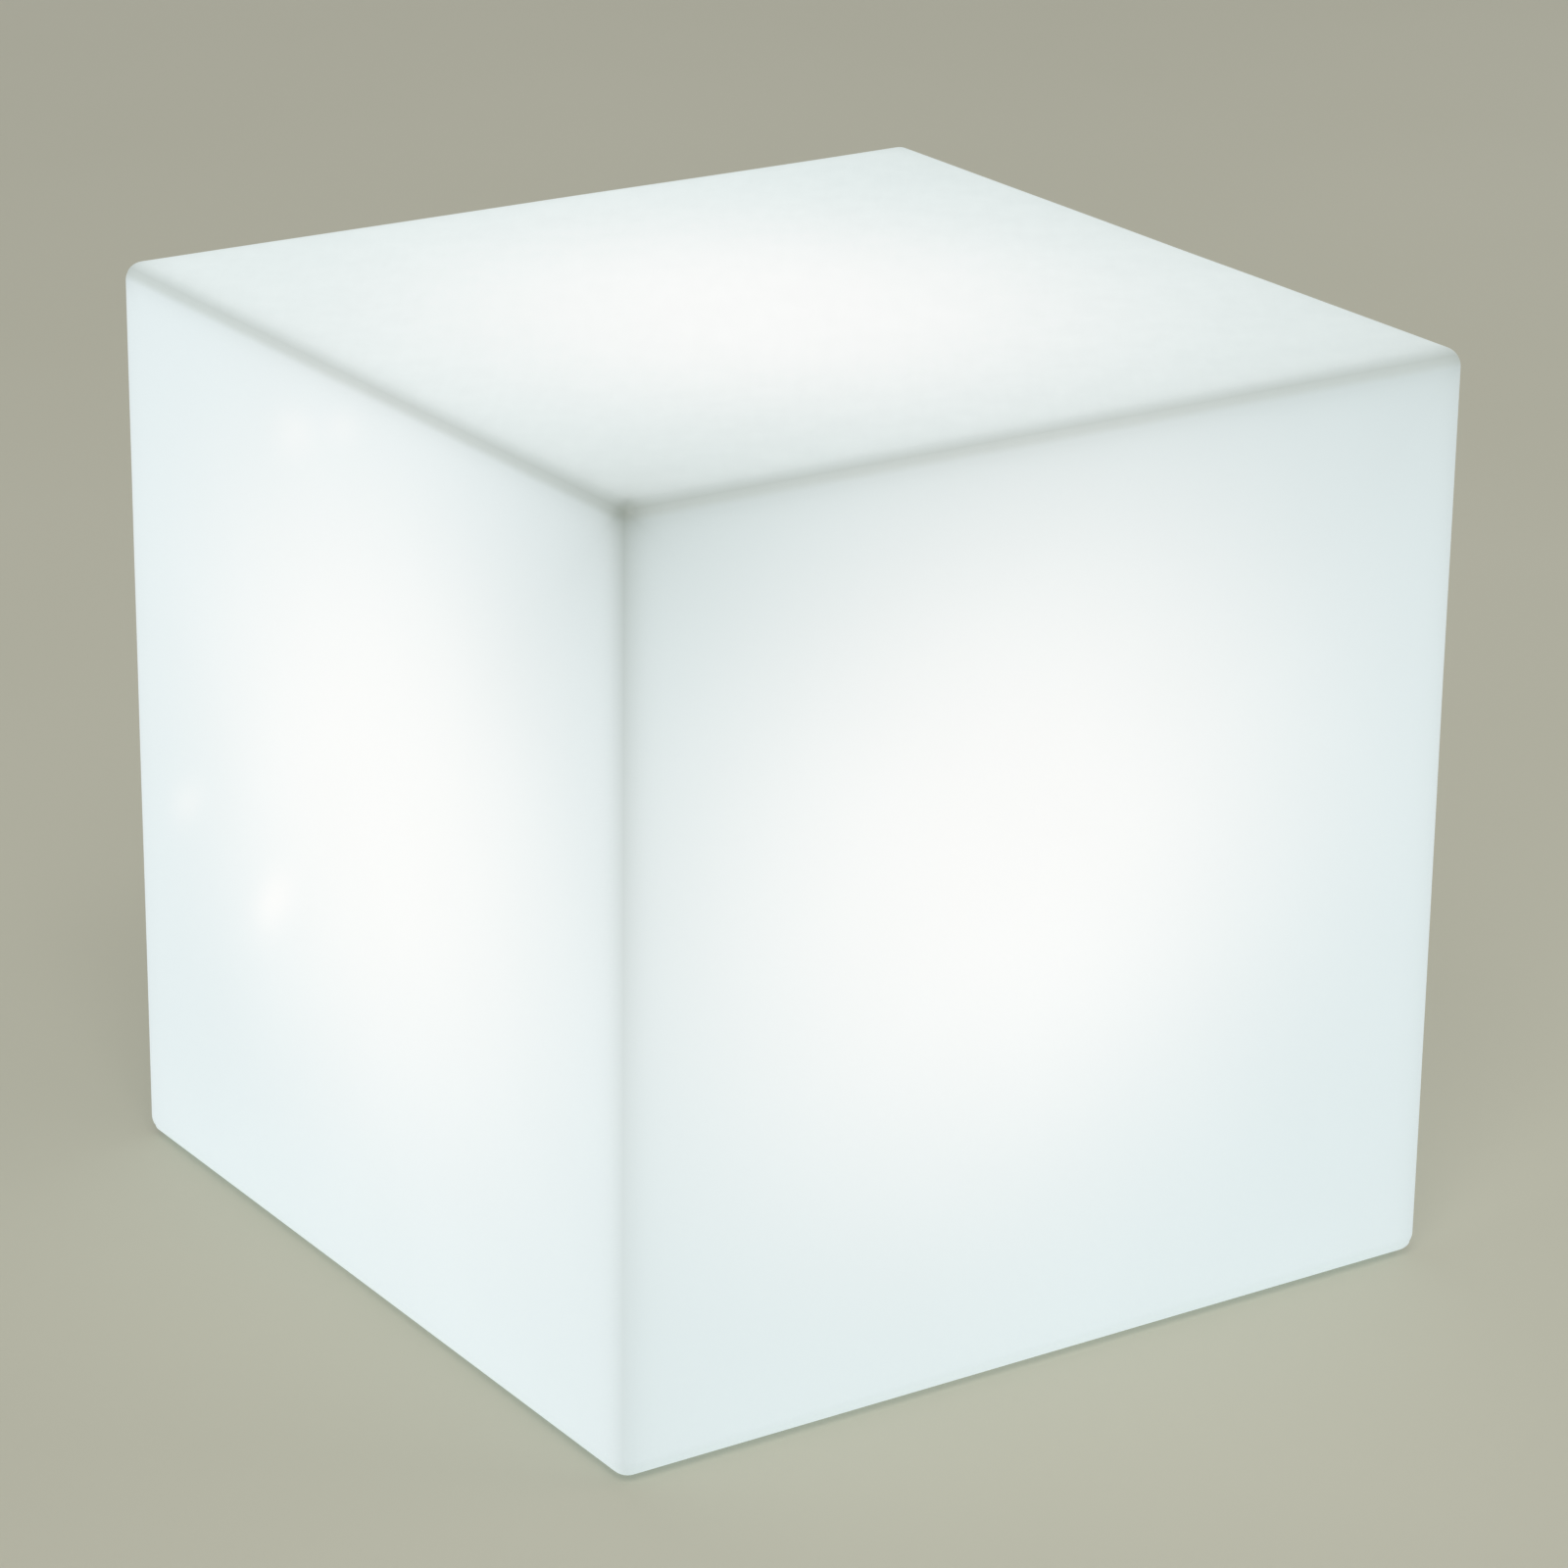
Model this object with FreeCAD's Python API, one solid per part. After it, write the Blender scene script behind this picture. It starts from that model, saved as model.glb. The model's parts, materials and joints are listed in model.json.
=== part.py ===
"""Rechargeable cube light: a hollow translucent cube with a sealed lamp unit screwed into its underside.

Millimetres, +Z up, origin on the ground under the middle of the cube, front face towards -Y.
Every sub-part is written to parts/NAME.step.
"""

import FreeCAD
import Part
import math
import os

# ---------------------------------------------------------------- cube shell
side = 430.0
overall_height = 430.0
wall = 4.0
edge_radius = 9.0

# ---------------------------------------------------------------- feet
foot_radius = 12.0
foot_taper = 1.5
foot_stand_off = 2.0
foot_pocket_depth = 2.5
foot_inset = 45.0
foot_clearance = 0.3

# ---------------------------------------------------------------- recess under the cube
recess_depth = 30.0
recess_mouth_radius = 5.0
recess_corner_radius = 3.0
shelf_width = 22.0
shelf_thickness = 5.0
opening_clearance = 4.0

# ---------------------------------------------------------------- base fixing
gasket_thickness = 2.0
gasket_margin = 2.0
flange_thickness = 5.0
flange_clearance = 3.0
base_screw_count = 6
base_screw_radius = 2.0
base_screw_length = 12.0
base_screw_head_radius = 3.9
base_screw_head_height = 2.4
insert_wall = 1.5
insert_length = 9.0
insert_groove = 0.4
insert_hole_spare = 1.0
insert_boss_wall = 4.0
thread_clearance = 0.05
screw_hole_clearance = 0.3
screw_hole_spare = 1.0
screw_socket_floor_share = 0.4
screw_socket_width_share = 1.25
overlap = 1.0

# ---------------------------------------------------------------- lamp housing
pot_wall = 3.0
pot_floor = 4.0
pot_headroom = 3.0
contents_clearance = 0.7
seam_groove_width = 1.6
seam_groove_depth = 0.8
label_length = 44.0
label_width = 24.0
label_depth = 0.4
label_back = 42.0

# ---------------------------------------------------------------- battery pack
cell_radius = 9.2
cell_length = 65.2
cell_gap = 0.3
cell_terminal_radius = 3.0
cell_terminal_height = 0.6
link_thickness = 0.3
link_width = 8.0
sleeve_clearance = 0.15
sleeve_thickness = 0.35
sleeve_overhang = 2.8
pack_front = -14.0
protection_board_width = 30.0
protection_board_height = 24.0
protection_board_thickness = 1.0
part_gap = 0.3

# ---------------------------------------------------------------- battery strap
strap_width = 12.0
strap_thickness = 1.0
strap_foot = 10.0
strap_boss_radius = 3.5
strap_boss_height = 4.0
strap_screw_radius = 1.2
strap_screw_length = 5.0
strap_screw_head_radius = 2.3
strap_screw_head_height = 1.5

# ---------------------------------------------------------------- control board
board_half_width = 38.0
board_front = -2.0
board_back = 46.0
board_thickness = 1.6
board_corner_radius = 3.0
board_post_radius = 3.0
board_post_inset = 4.0
board_screw_radius = 1.2
board_screw_length = 6.0
board_screw_head_radius = 2.3
board_screw_head_height = 1.5
solder_lead_length = 8.0
chip_side = 7.0
chip_height = 1.2
inductor_radius = 5.0
inductor_height = 5.5
inductor_waist_low_share = 0.25
inductor_waist_high_share = 0.75
inductor_waist_radius_share = 0.8
capacitor_radius = 3.2
capacitor_height = 6.0
socket_width = 8.0
socket_depth = 6.0
socket_height = 5.8
socket_wall = 0.9
status_led_side = 3.0
status_led_height = 1.2

# ---------------------------------------------------------------- controls on the underside
controls_x = 28.0
controls_y = 27.0

switch_thread_radius = 8.0
switch_head_radius = 9.5
switch_head_thickness = 2.0
switch_head_chamfer = 0.6
switch_barrel_length = 16.0
switch_hole_clearance = 0.1
switch_nut_width = 20.0
switch_nut_thickness = 3.0
switch_seal_radius = 0.7
button_radius = 6.0
button_running_clearance = 0.05
button_stand_out = 2.0
button_dish = 0.5
button_travel = 1.5
button_lip_height = 5.0
button_collar_radius = 6.9
button_collar_height = 2.0
button_stop_gap = 0.1
spring_pressed_length = 6.5
spring_coil_radius = 4.4
spring_wire_radius = 0.35
spring_turns = 5.0
switch_back_thickness = 3.0
terminal_width = 2.0
terminal_thickness = 0.6
terminal_length = 5.0
terminal_spacing = 6.0

jack_thread_radius = 4.0
jack_flange_radius = 5.5
jack_flange_thickness = 1.2
jack_seal_thickness = 0.8
jack_barrel_length = 10.0
jack_rear_radius = 3.5
jack_rear_length = 4.0
jack_bore_radius = 3.0
jack_bore_depth = 9.5
jack_pin_radius = 1.0
jack_pin_setback = 1.0
jack_hole_clearance = 0.1
jack_nut_width = 11.0
jack_nut_thickness = 2.4
jack_tag_spacing = 4.0

well_radius = 7.5
well_depth = 6.0
well_roof = 4.0
well_wall = 3.5

door_arm = 11.5
door_reach = 21.0
door_half_width = 9.5
door_thickness = 1.9
door_corner_radius = 3.0
door_top_gap = 0.1
door_seal_radius = 9.0
door_seal_thickness = 1.0
door_stub_base_radius = 6.7
door_stub_tip_radius = 6.2
door_stub_height = 3.0
knuckle_radius = 2.0
knuckle_half_length = 5.0
hinge_gap = 0.3
ear_width = 3.5
door_pin_radius = 0.9
door_pin_clearance = 0.05
door_pin_grip = 0.02
hinge_edge_gap = 0.6
thumb_scoop_radius = 12.0
thumb_scoop_depth = 2.0

light_pipe_radius = 1.5
light_pipe_collar_radius = 2.6
light_pipe_collar_height = 2.0
light_pipe_y = 40.0
light_pipe_clearance = 0.1
light_pipe_stand_out = 0.3

vent_y = 16.0
vent_head_radius = 6.5
vent_head_height = 2.5
vent_stem_radius = 4.0
vent_stem_clearance = 0.1
vent_stem_rise = 4.0
vent_barb = 0.5
vent_bore_radius = 2.4
vent_slot_width = 1.4
vent_slot_count = 6
vent_seal_radius = 0.6
membrane_thickness = 0.3
membrane_seat = 1.0

# ---------------------------------------------------------------- light engine
led_size = 5.0
led_height = 1.6
led_window_radius = 1.9
led_window_depth = 0.3
led_inner_count = 8
led_outer_count = 16
led_inner_ring = 18.0
led_outer_ring = 34.0
led_board_margin = 6.5
led_board_thickness = 1.6
led_board_screw_count = 3
led_board_screw_ring = 26.0
led_board_screw_radius = 1.5
led_board_screw_length = 4.5
led_board_screw_head_radius = 2.7
led_board_screw_head_height = 1.8
thermal_pad_thickness = 0.5
thermal_pad_margin = 2.0
heat_plate_thickness = 3.0
plate_seal_thickness = 1.0
plate_seal_margin = 0.4

lead_space = 13.0
dome_wall = 2.5
dome_rise = 48.0
dome_flange_thickness = 3.0
dome_flange_margin = 2.0
dome_screw_gap = 9.0
dome_screw_count = 6
dome_screw_radius = 1.5
dome_screw_length = 20.0
dome_screw_head_radius = 2.8
dome_screw_head_height = 2.0
dome_boss_radius = 5.0
dome_boss_length = 15.0
dome_boss_inset = 4.0
dome_ring_thickness = 3.0
dome_ring_margin = 1.0
dome_ring_edge = 0.8
dome_seal_radius = 1.1
dome_seal_inset = 4.6
seal_groove_clearance = 0.1

# ---------------------------------------------------------------- leads
lead_radius = 0.75
lead_pitch = 2.2
lead_hoop = 11.5
lead_arc_share = 0.45
grommet_inset = 6.5
grommet_hole_radius = 3.2
grommet_flange = 1.2
grommet_lip = 1.0
battery_lead_reach = 13.0
battery_lead_step = 2.5
battery_lead_depth = 14.0
battery_lead_gap = 1.25

# ---------------------------------------------------------------- heights that follow
underside_z = foot_stand_off
shelf_z = underside_z + recess_depth
flange_top_z = shelf_z - gasket_thickness
base_z = flange_top_z - flange_thickness
floor_z = base_z + pot_floor

well_roof_z = base_z + well_depth
jack_seat_z = well_roof_z - jack_seal_thickness
jack_face_z = jack_seat_z - jack_flange_thickness
jack_barrel_z = jack_seat_z + jack_barrel_length
jack_rear_z = jack_barrel_z + jack_rear_length

switch_face_z = base_z - switch_head_thickness
button_lip_z = switch_face_z + button_lip_height
button_collar_z = button_lip_z + button_stop_gap
button_top_z = button_collar_z + button_collar_height
spring_length = button_travel + spring_pressed_length
spring_roof_z = button_top_z + spring_length
switch_barrel_z = max(base_z + switch_barrel_length, spring_roof_z + part_gap)
switch_back_z = switch_barrel_z + switch_back_thickness

board_z = max(jack_rear_z, switch_back_z) + terminal_length + solder_lead_length
board_top_z = board_z + board_thickness
tallest_on_board = max(inductor_height, capacitor_height, socket_height)

pack_width = 4 * cell_radius + cell_gap + 2 * (sleeve_clearance + sleeve_thickness)
strap_top_z = floor_z + pack_width + part_gap + strap_thickness
rim_z = max(strap_top_z, board_top_z + tallest_on_board) + pot_headroom

plate_z = rim_z + plate_seal_thickness
plate_top_z = plate_z + heat_plate_thickness
led_board_z = plate_top_z + thermal_pad_thickness
led_board_top_z = led_board_z + led_board_thickness
dome_flange_top_z = plate_top_z + dome_flange_thickness
dome_ring_top_z = dome_flange_top_z + dome_ring_thickness

# ---------------------------------------------------------------- radii that follow
pack_y = pack_front - pack_width / 2
pack_half_length = cell_length / 2 + sleeve_overhang
contents_radius = max(
    math.hypot(pack_half_length, pack_front - pack_width),
    math.hypot(board_half_width, board_back),
)
led_board_radius = led_outer_ring + led_size / math.sqrt(2) + led_board_margin
dome_inner_radius = led_board_radius + lead_space
dome_radius = dome_inner_radius + dome_wall
pot_inner_radius = max(
    contents_radius + dome_boss_inset + dome_boss_radius + contents_clearance,
    dome_radius + dome_screw_gap + dome_boss_inset,
)
dome_screw_ring = pot_inner_radius - dome_boss_inset
pot_radius = pot_inner_radius + pot_wall
opening_radius = pot_radius + opening_clearance
recess_radius = opening_radius + shelf_width
flange_radius = recess_radius - flange_clearance
base_screw_ring = opening_radius + shelf_width / 2
grommet_y = led_board_radius + grommet_inset
insert_radius = base_screw_radius + thread_clearance + insert_wall


# ---------------------------------------------------------------- shapes used again and again
def vector(x, y, z):
    return FreeCAD.Vector(x, y, z)


def cylinder(x, y, low, high, radius):
    """Upright round bar between two heights."""
    return Part.makeCylinder(radius, high - low, vector(x, y, low))


def tube(x, y, low, high, outer, inner):
    """Upright round bar with a round hole right through it."""
    return cylinder(x, y, low, high, outer).cut(cylinder(x, y, low, high, inner))


def cone(x, y, low, high, low_radius, high_radius):
    return Part.makeCone(low_radius, high_radius, high - low, vector(x, y, low))


def box(low, high):
    """Box between its lowest and its highest corner."""
    return Part.makeBox(high[0] - low[0], high[1] - low[1], high[2] - low[2], vector(*low))


def upright_edges(solid):
    """Straight edges of a solid that run along Z."""
    found = []
    for edge in solid.Edges:
        start, end = edge.Vertexes[0].Point, edge.Vertexes[-1].Point
        if abs(start.x - end.x) < 1e-6 and abs(start.y - end.y) < 1e-6:
            found.append(edge)
    return found


def rounded_plate(low, high, radius):
    """Flat plate with its four upright corners rounded."""
    plate = box(low, high)
    return plate.makeFillet(radius, upright_edges(plate))


def hexagon(x, y, low, high, across_flats):
    """Upright six-sided bar."""
    corner = across_flats / math.sqrt(3)
    points = [
        vector(x + corner * math.cos(math.radians(60 * i)), y + corner * math.sin(math.radians(60 * i)), low)
        for i in range(7)
    ]
    return Part.Face(Part.makePolygon(points)).extrude(vector(0, 0, high - low))


def torus(x, y, z, ring_radius, section_radius):
    return Part.makeTorus(ring_radius, section_radius, vector(x, y, z))


def spots(count, ring, first_angle=0.0):
    """Centres of equally spaced places on a ring, as x and y."""
    found = []
    for i in range(count):
        angle = math.radians(first_angle + 360.0 * i / count)
        found.append((ring * math.cos(angle), ring * math.sin(angle)))
    return found


def joined(solids):
    """One solid out of several that overlap."""
    whole = solids[0]
    for solid in solids[1:]:
        whole = whole.fuse(solid)
    return whole.removeSplitter()


def without(solid, tools):
    """The solid with every tool cut out of it."""
    for tool in tools:
        solid = solid.cut(tool)
    return solid


def group(solids):
    """Several separate solids kept side by side in one node."""
    return Part.makeCompound(solids)


def arc(start, middle, end):
    return Part.Arc(vector(*start), vector(*middle), vector(*end)).toShape()


def line(start, end):
    return Part.LineSegment(vector(*start), vector(*end)).toShape()


def spun(edges):
    """Solid of revolution about Z from a closed outline in the XZ plane."""
    return Part.Face(Part.Wire(edges)).revolve(vector(0, 0, 0), vector(0, 0, 1), 360)


def quarter_middle(centre_x, centre_z, radius, side_x, side_z):
    """Middle point of a quarter arc on the given side of its centre."""
    reach = radius * math.sqrt(0.5)
    return (centre_x + side_x * reach, 0, centre_z + side_z * reach)


def pan_screw(x, y, seat, shank, length, head, head_height, pointing_up):
    """Pan-head screw with a hexagon socket; its head rests on the seat height."""
    shoulder = head_height / 2
    edges = [
        line((0, 0, 0), (head, 0, 0)),
        line((head, 0, 0), (head, 0, shoulder)),
        arc(
            (head, 0, shoulder),
            quarter_middle(head - shoulder, shoulder, shoulder, 1, 1),
            (head - shoulder, 0, head_height),
        ),
        line((head - shoulder, 0, head_height), (0, 0, head_height)),
        line((0, 0, head_height), (0, 0, 0)),
    ]
    solid = spun(edges).fuse(cylinder(0, 0, -length, 0, shank)).removeSplitter()
    socket_floor = head_height * screw_socket_floor_share
    solid = solid.cut(hexagon(0, 0, socket_floor, head_height, shank * screw_socket_width_share))
    if pointing_up:
        solid.rotate(vector(0, 0, 0), vector(1, 0, 0), 180)
    solid.translate(vector(x, y, seat))
    return solid


def lead(points):
    """Insulated wire along a route: straight runs joined by the largest tangent arcs that fit."""
    route = [vector(*point) for point in points]
    edges = []
    start = route[0]
    for before, corner, after in zip(route, route[1:], route[2:]):
        back = (before - corner).normalize()
        on = (after - corner).normalize()
        trim = lead_arc_share * min(before.distanceToPoint(corner), after.distanceToPoint(corner))
        turn = math.pi - back.getAngle(on)
        bend = trim / math.tan(turn / 2)
        print(f"lead bend radius {bend:.1f} mm")
        arc_start = corner + back * trim
        arc_end = corner + on * trim
        inward = (back + on).normalize()
        centre = corner + inward * math.hypot(bend, trim)
        arc_middle = centre - inward * bend
        edges.append(Part.LineSegment(start, arc_start).toShape())
        edges.append(Part.Arc(arc_start, arc_middle, arc_end).toShape())
        start = arc_end
    edges.append(Part.LineSegment(start, route[-1]).toShape())
    path = Part.Wire(edges)
    section = Part.Wire([Part.Circle(route[0], route[1] - route[0], lead_radius).toShape()])
    solid = path.makePipeShell([section], True, False)
    whole_volume = math.pi * lead_radius**2 * path.Length
    print(f"lead volume over section times length: {solid.Volume / whole_volume:.4f}")
    return solid


# ---------------------------------------------------------------- places
foot_places = {
    "front_left": (-1, -1),
    "front_right": (1, -1),
    "back_left": (-1, 1),
    "back_right": (1, 1),
}
base_screw_spots = spots(base_screw_count, base_screw_ring, 30)
dome_screw_spots = spots(dome_screw_count, dome_screw_ring, 0)
led_board_screw_spots = spots(led_board_screw_count, led_board_screw_ring, 30)
switch_x = -controls_x
jack_x = controls_x
hinge_y = controls_y - door_arm
hinge_z = base_z - door_top_gap - knuckle_radius
board_post_spots = [
    (sign * (board_half_width - board_post_inset), y)
    for sign in (-1, 1)
    for y in (board_front + board_post_inset, board_back - board_post_inset)
]
strap_offset = pack_width / 2 + part_gap + strap_thickness + strap_foot / 2
strap_screw_spots = [(0, pack_y - strap_offset), (0, pack_y + strap_offset)]


def foot_centre(signs):
    return signs[0] * (side / 2 - foot_inset), signs[1] * (side / 2 - foot_inset)


# ---------------------------------------------------------------- cube and feet
def cube_shell():
    """Thin-walled cube with a round recess, a seat for the lamp and four foot pockets underneath."""
    half = side / 2
    outside = box((-half, -half, underside_z), (half, half, overall_height))
    outside = outside.makeFillet(edge_radius, outside.Edges)
    inside = box(
        (-half + wall, -half + wall, underside_z + wall),
        (half - wall, half - wall, overall_height - wall),
    )
    inside = inside.makeFillet(edge_radius - wall, inside.Edges)
    shelf_top = shelf_z + shelf_thickness
    boss_top = shelf_z + insert_length + insert_boss_wall
    added = [cylinder(0, 0, underside_z + wall / 2, shelf_top, recess_radius + wall)]
    for x, y in base_screw_spots:
        added.append(cylinder(x, y, shelf_z, boss_top, insert_radius + insert_boss_wall))
    removed = [recess_space()]
    for x, y in base_screw_spots:
        hole_top = shelf_z + insert_length + insert_hole_spare
        removed.append(cylinder(x, y, shelf_z, hole_top, insert_radius + thread_clearance))
    for signs in foot_places.values():
        x, y = foot_centre(signs)
        pocket_top = underside_z + foot_pocket_depth
        radius = foot_radius + foot_clearance
        added.append(cylinder(x, y, underside_z + wall / 2, pocket_top + wall, radius + wall))
        removed.append(cylinder(x, y, underside_z, pocket_top, radius))
    return without(joined([outside.cut(inside)] + added), removed)


def recess_space():
    """The air in the recess and in the opening above it, with a rounded mouth and corner."""
    mouth = recess_mouth_radius
    corner = recess_corner_radius
    top = shelf_z + shelf_thickness
    below = underside_z - overlap
    edges = [
        line((0, 0, below), (recess_radius + mouth, 0, below)),
        line((recess_radius + mouth, 0, below), (recess_radius + mouth, 0, underside_z)),
        arc(
            (recess_radius + mouth, 0, underside_z),
            quarter_middle(recess_radius + mouth, underside_z + mouth, mouth, -1, -1),
            (recess_radius, 0, underside_z + mouth),
        ),
        line((recess_radius, 0, underside_z + mouth), (recess_radius, 0, shelf_z - corner)),
        arc(
            (recess_radius, 0, shelf_z - corner),
            quarter_middle(recess_radius - corner, shelf_z - corner, corner, 1, 1),
            (recess_radius - corner, 0, shelf_z),
        ),
        line((recess_radius - corner, 0, shelf_z), (opening_radius, 0, shelf_z)),
        line((opening_radius, 0, shelf_z), (opening_radius, 0, top)),
        line((opening_radius, 0, top), (0, 0, top)),
        line((0, 0, top), (0, 0, below)),
    ]
    return spun(edges)


def foot(signs):
    """Rubber foot glued into its pocket, narrower where it meets the ground."""
    x, y = foot_centre(signs)
    upper = cylinder(x, y, underside_z, underside_z + foot_pocket_depth, foot_radius)
    lower = cone(x, y, 0, underside_z, foot_radius - foot_taper, foot_radius)
    return joined([upper, lower])


# ---------------------------------------------------------------- fixing of the lamp to the cube
def threaded_inserts():
    """Brass inserts in the bosses round the opening, each with a grip groove."""
    solids = []
    for x, y in base_screw_spots:
        bore = base_screw_radius + thread_clearance
        insert = tube(x, y, shelf_z, shelf_z + insert_length, insert_radius, bore)
        middle = shelf_z + insert_length / 2
        groove = tube(x, y, middle - insert_groove, middle + insert_groove, insert_radius + overlap,
                      insert_radius - insert_groove)
        solids.append(insert.cut(groove))
    return group(solids)


def base_gasket():
    """Flat silicone ring between the housing's flange and the shelf."""
    ring = tube(0, 0, flange_top_z, shelf_z, flange_radius - gasket_margin, opening_radius + gasket_margin)
    hole = base_screw_radius + 2 * screw_hole_clearance
    return without(ring, [cylinder(x, y, flange_top_z, shelf_z, hole) for x, y in base_screw_spots])


def base_screws():
    """Stainless screws up through the flange and the gasket into the inserts."""
    seat = base_z + base_screw_head_height + screw_hole_clearance
    return group([
        pan_screw(x, y, seat, base_screw_radius, base_screw_length, base_screw_head_radius,
                  base_screw_head_height, True)
        for x, y in base_screw_spots
    ])


# ---------------------------------------------------------------- lamp housing
def base_housing():
    """Flange and pot in one moulding, with its bosses, posts, port well and hinge ears."""
    added = [
        cylinder(0, 0, base_z, flange_top_z, flange_radius),
        cylinder(0, 0, base_z, rim_z, pot_radius),
    ]
    body = without(joined(added), [cylinder(0, 0, floor_z, rim_z, pot_inner_radius)])
    added = [body, cylinder(jack_x, controls_y, base_z, well_roof_z + well_roof, well_radius + well_wall)]
    for x, y in dome_screw_spots:
        boss = cylinder(x, y, rim_z - dome_boss_length, rim_z, dome_boss_radius)
        added.append(boss.common(cylinder(0, 0, base_z, rim_z, pot_radius - pot_wall / 2)))
    for x, y in board_post_spots:
        added.append(cylinder(x, y, floor_z - overlap, board_z, board_post_radius))
    for x, y in strap_screw_spots:
        added.append(cylinder(x, y, floor_z - overlap, floor_z + strap_boss_height, strap_boss_radius))
    added.extend(hinge_ears())
    return without(joined(added), housing_cuts())


def hinge_ears():
    """Two ears under the floor that hold the port door's pin."""
    solids = []
    for sign in (-1, 1):
        near = jack_x + sign * (knuckle_half_length + hinge_gap)
        far = near + sign * ear_width
        low, high = min(near, far), max(near, far)
        front, back = hinge_y - knuckle_radius, hinge_y + knuckle_radius
        solids.append(box((low, front, hinge_z), (high, back, base_z + overlap)))
        pin_line = vector(low, hinge_y, hinge_z)
        solids.append(Part.makeCylinder(knuckle_radius, ear_width, pin_line, vector(1, 0, 0)))
    return solids


def housing_cuts():
    """Every hole, pocket and groove of the lamp housing."""
    tools = [
        cylinder(jack_x, controls_y, base_z, well_roof_z, well_radius),
        cylinder(jack_x, controls_y, well_roof_z, well_roof_z + well_roof,
                 jack_thread_radius + jack_hole_clearance),
        cylinder(switch_x, controls_y, base_z, floor_z, switch_thread_radius + switch_hole_clearance),
        cylinder(0, light_pipe_y, base_z, floor_z, light_pipe_radius + light_pipe_clearance),
        cylinder(0, vent_y, base_z, floor_z, vent_stem_radius + vent_stem_clearance),
        tube(0, 0, base_z, base_z + seam_groove_depth, pot_radius + seam_groove_width / 2,
             pot_radius - seam_groove_width / 2),
        hinge_pin_bar(door_pin_radius + door_pin_grip),
        thumb_scoop(),
        label_recess(),
        torus(switch_x, controls_y, base_z, switch_seal_ring(), switch_seal_radius + seal_groove_clearance),
        torus(0, vent_y, base_z, vent_seal_ring(), vent_seal_radius + seal_groove_clearance),
    ]
    seat = base_z + base_screw_head_height + screw_hole_clearance
    for x, y in base_screw_spots:
        tools.append(cylinder(x, y, base_z, seat, base_screw_head_radius + screw_hole_clearance))
        tools.append(cylinder(x, y, base_z, flange_top_z, base_screw_radius + screw_hole_clearance))
    for x, y in dome_screw_spots:
        hole_floor = dome_screw_tip_z() - screw_hole_spare
        tools.append(cylinder(x, y, hole_floor, rim_z, dome_screw_radius + thread_clearance))
    for x, y in board_post_spots:
        low = board_top_z - board_screw_length - screw_hole_spare
        tools.append(cylinder(x, y, low, board_z, board_screw_radius + thread_clearance))
    for x, y in strap_screw_spots:
        top = floor_z + strap_boss_height
        low = top + strap_thickness - strap_screw_length - part_gap
        tools.append(cylinder(x, y, low, top, strap_screw_radius + thread_clearance))
    return tools


def thumb_scoop():
    """Shallow hollow at the free edge of the port door, to get a finger under it."""
    centre_z = base_z + thumb_scoop_depth - thumb_scoop_radius
    return Part.makeSphere(thumb_scoop_radius, vector(jack_x, hinge_y + door_reach, centre_z))


def label_recess():
    """Bare shallow field on the underside, where a rating plate would be."""
    return rounded_plate(
        (-label_length / 2, -label_back - label_width / 2, base_z),
        (label_length / 2, -label_back + label_width / 2, base_z + label_depth),
        door_corner_radius,
    )


def switch_seal_ring():
    """Radius of the seal's centre line under the switch head."""
    return (switch_thread_radius + switch_head_radius) / 2


def vent_seal_ring():
    return (vent_stem_radius + vent_head_radius) / 2


def dome_screw_tip_z():
    return dome_ring_top_z - dome_screw_length


# ---------------------------------------------------------------- battery
def cell_centres():
    """Centres of the four cells' ends, as y and z, two wide and two high."""
    step = cell_radius + cell_gap / 2
    middle_z = floor_z + pack_width / 2
    return [(pack_y + a * step, middle_z + b * step) for b in (-1, 1) for a in (-1, 1)]


def battery_cell(index):
    """Round cell lying along X, with its raised positive end."""
    y, z = cell_centres()[index]
    sign = 1 if index % 2 == 0 else -1
    body = Part.makeCylinder(cell_radius, cell_length, vector(-cell_length / 2, y, z), vector(1, 0, 0))
    end = vector(sign * cell_length / 2, y, z)
    button = Part.makeCylinder(cell_terminal_radius, cell_terminal_height, end, vector(sign, 0, 0))
    return joined([body, button])


def sleeve_section(grow):
    """Cross-section wires of the shrink sleeve: a square with large round corners."""
    half = pack_width / 2 - sleeve_thickness + grow
    radius = cell_radius + sleeve_clearance + grow
    middle_z = floor_z + pack_width / 2
    bar = box((-pack_half_length, pack_y - half, middle_z - half),
              (pack_half_length, pack_y + half, middle_z + half))
    along_x = [
        edge for edge in bar.Edges
        if abs(edge.Vertexes[0].Point.x - edge.Vertexes[-1].Point.x) > cell_radius
    ]
    return bar.makeFillet(radius, along_x)


def battery_sleeve():
    """Thin shrink sleeve round all four cells, open at both ends."""
    return sleeve_section(sleeve_thickness).cut(sleeve_section(0))


def cell_links():
    """Nickel strips across the raised ends of the cells, two at each end."""
    solids = []
    step = cell_radius + cell_gap / 2
    middle_z = floor_z + pack_width / 2
    for sign in (-1, 1):
        near = sign * (cell_length / 2 + cell_terminal_height)
        far = near + sign * link_thickness
        low, high = min(near, far), max(near, far)
        for side_sign in (-1, 1):
            y = pack_y + side_sign * step
            solids.append(box((low, y - link_width / 2, middle_z - step - link_width / 2),
                              (high, y + link_width / 2, middle_z + step + link_width / 2)))
    return group(solids)


def protection_board():
    """Small board that guards the cells, against the links at the right-hand end."""
    low = cell_length / 2 + cell_terminal_height + link_thickness
    middle_z = floor_z + pack_width / 2
    return box(
        (low, pack_y - protection_board_width / 2, middle_z - protection_board_height / 2),
        (low + protection_board_thickness, pack_y + protection_board_width / 2,
         middle_z + protection_board_height / 2),
    )


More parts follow.
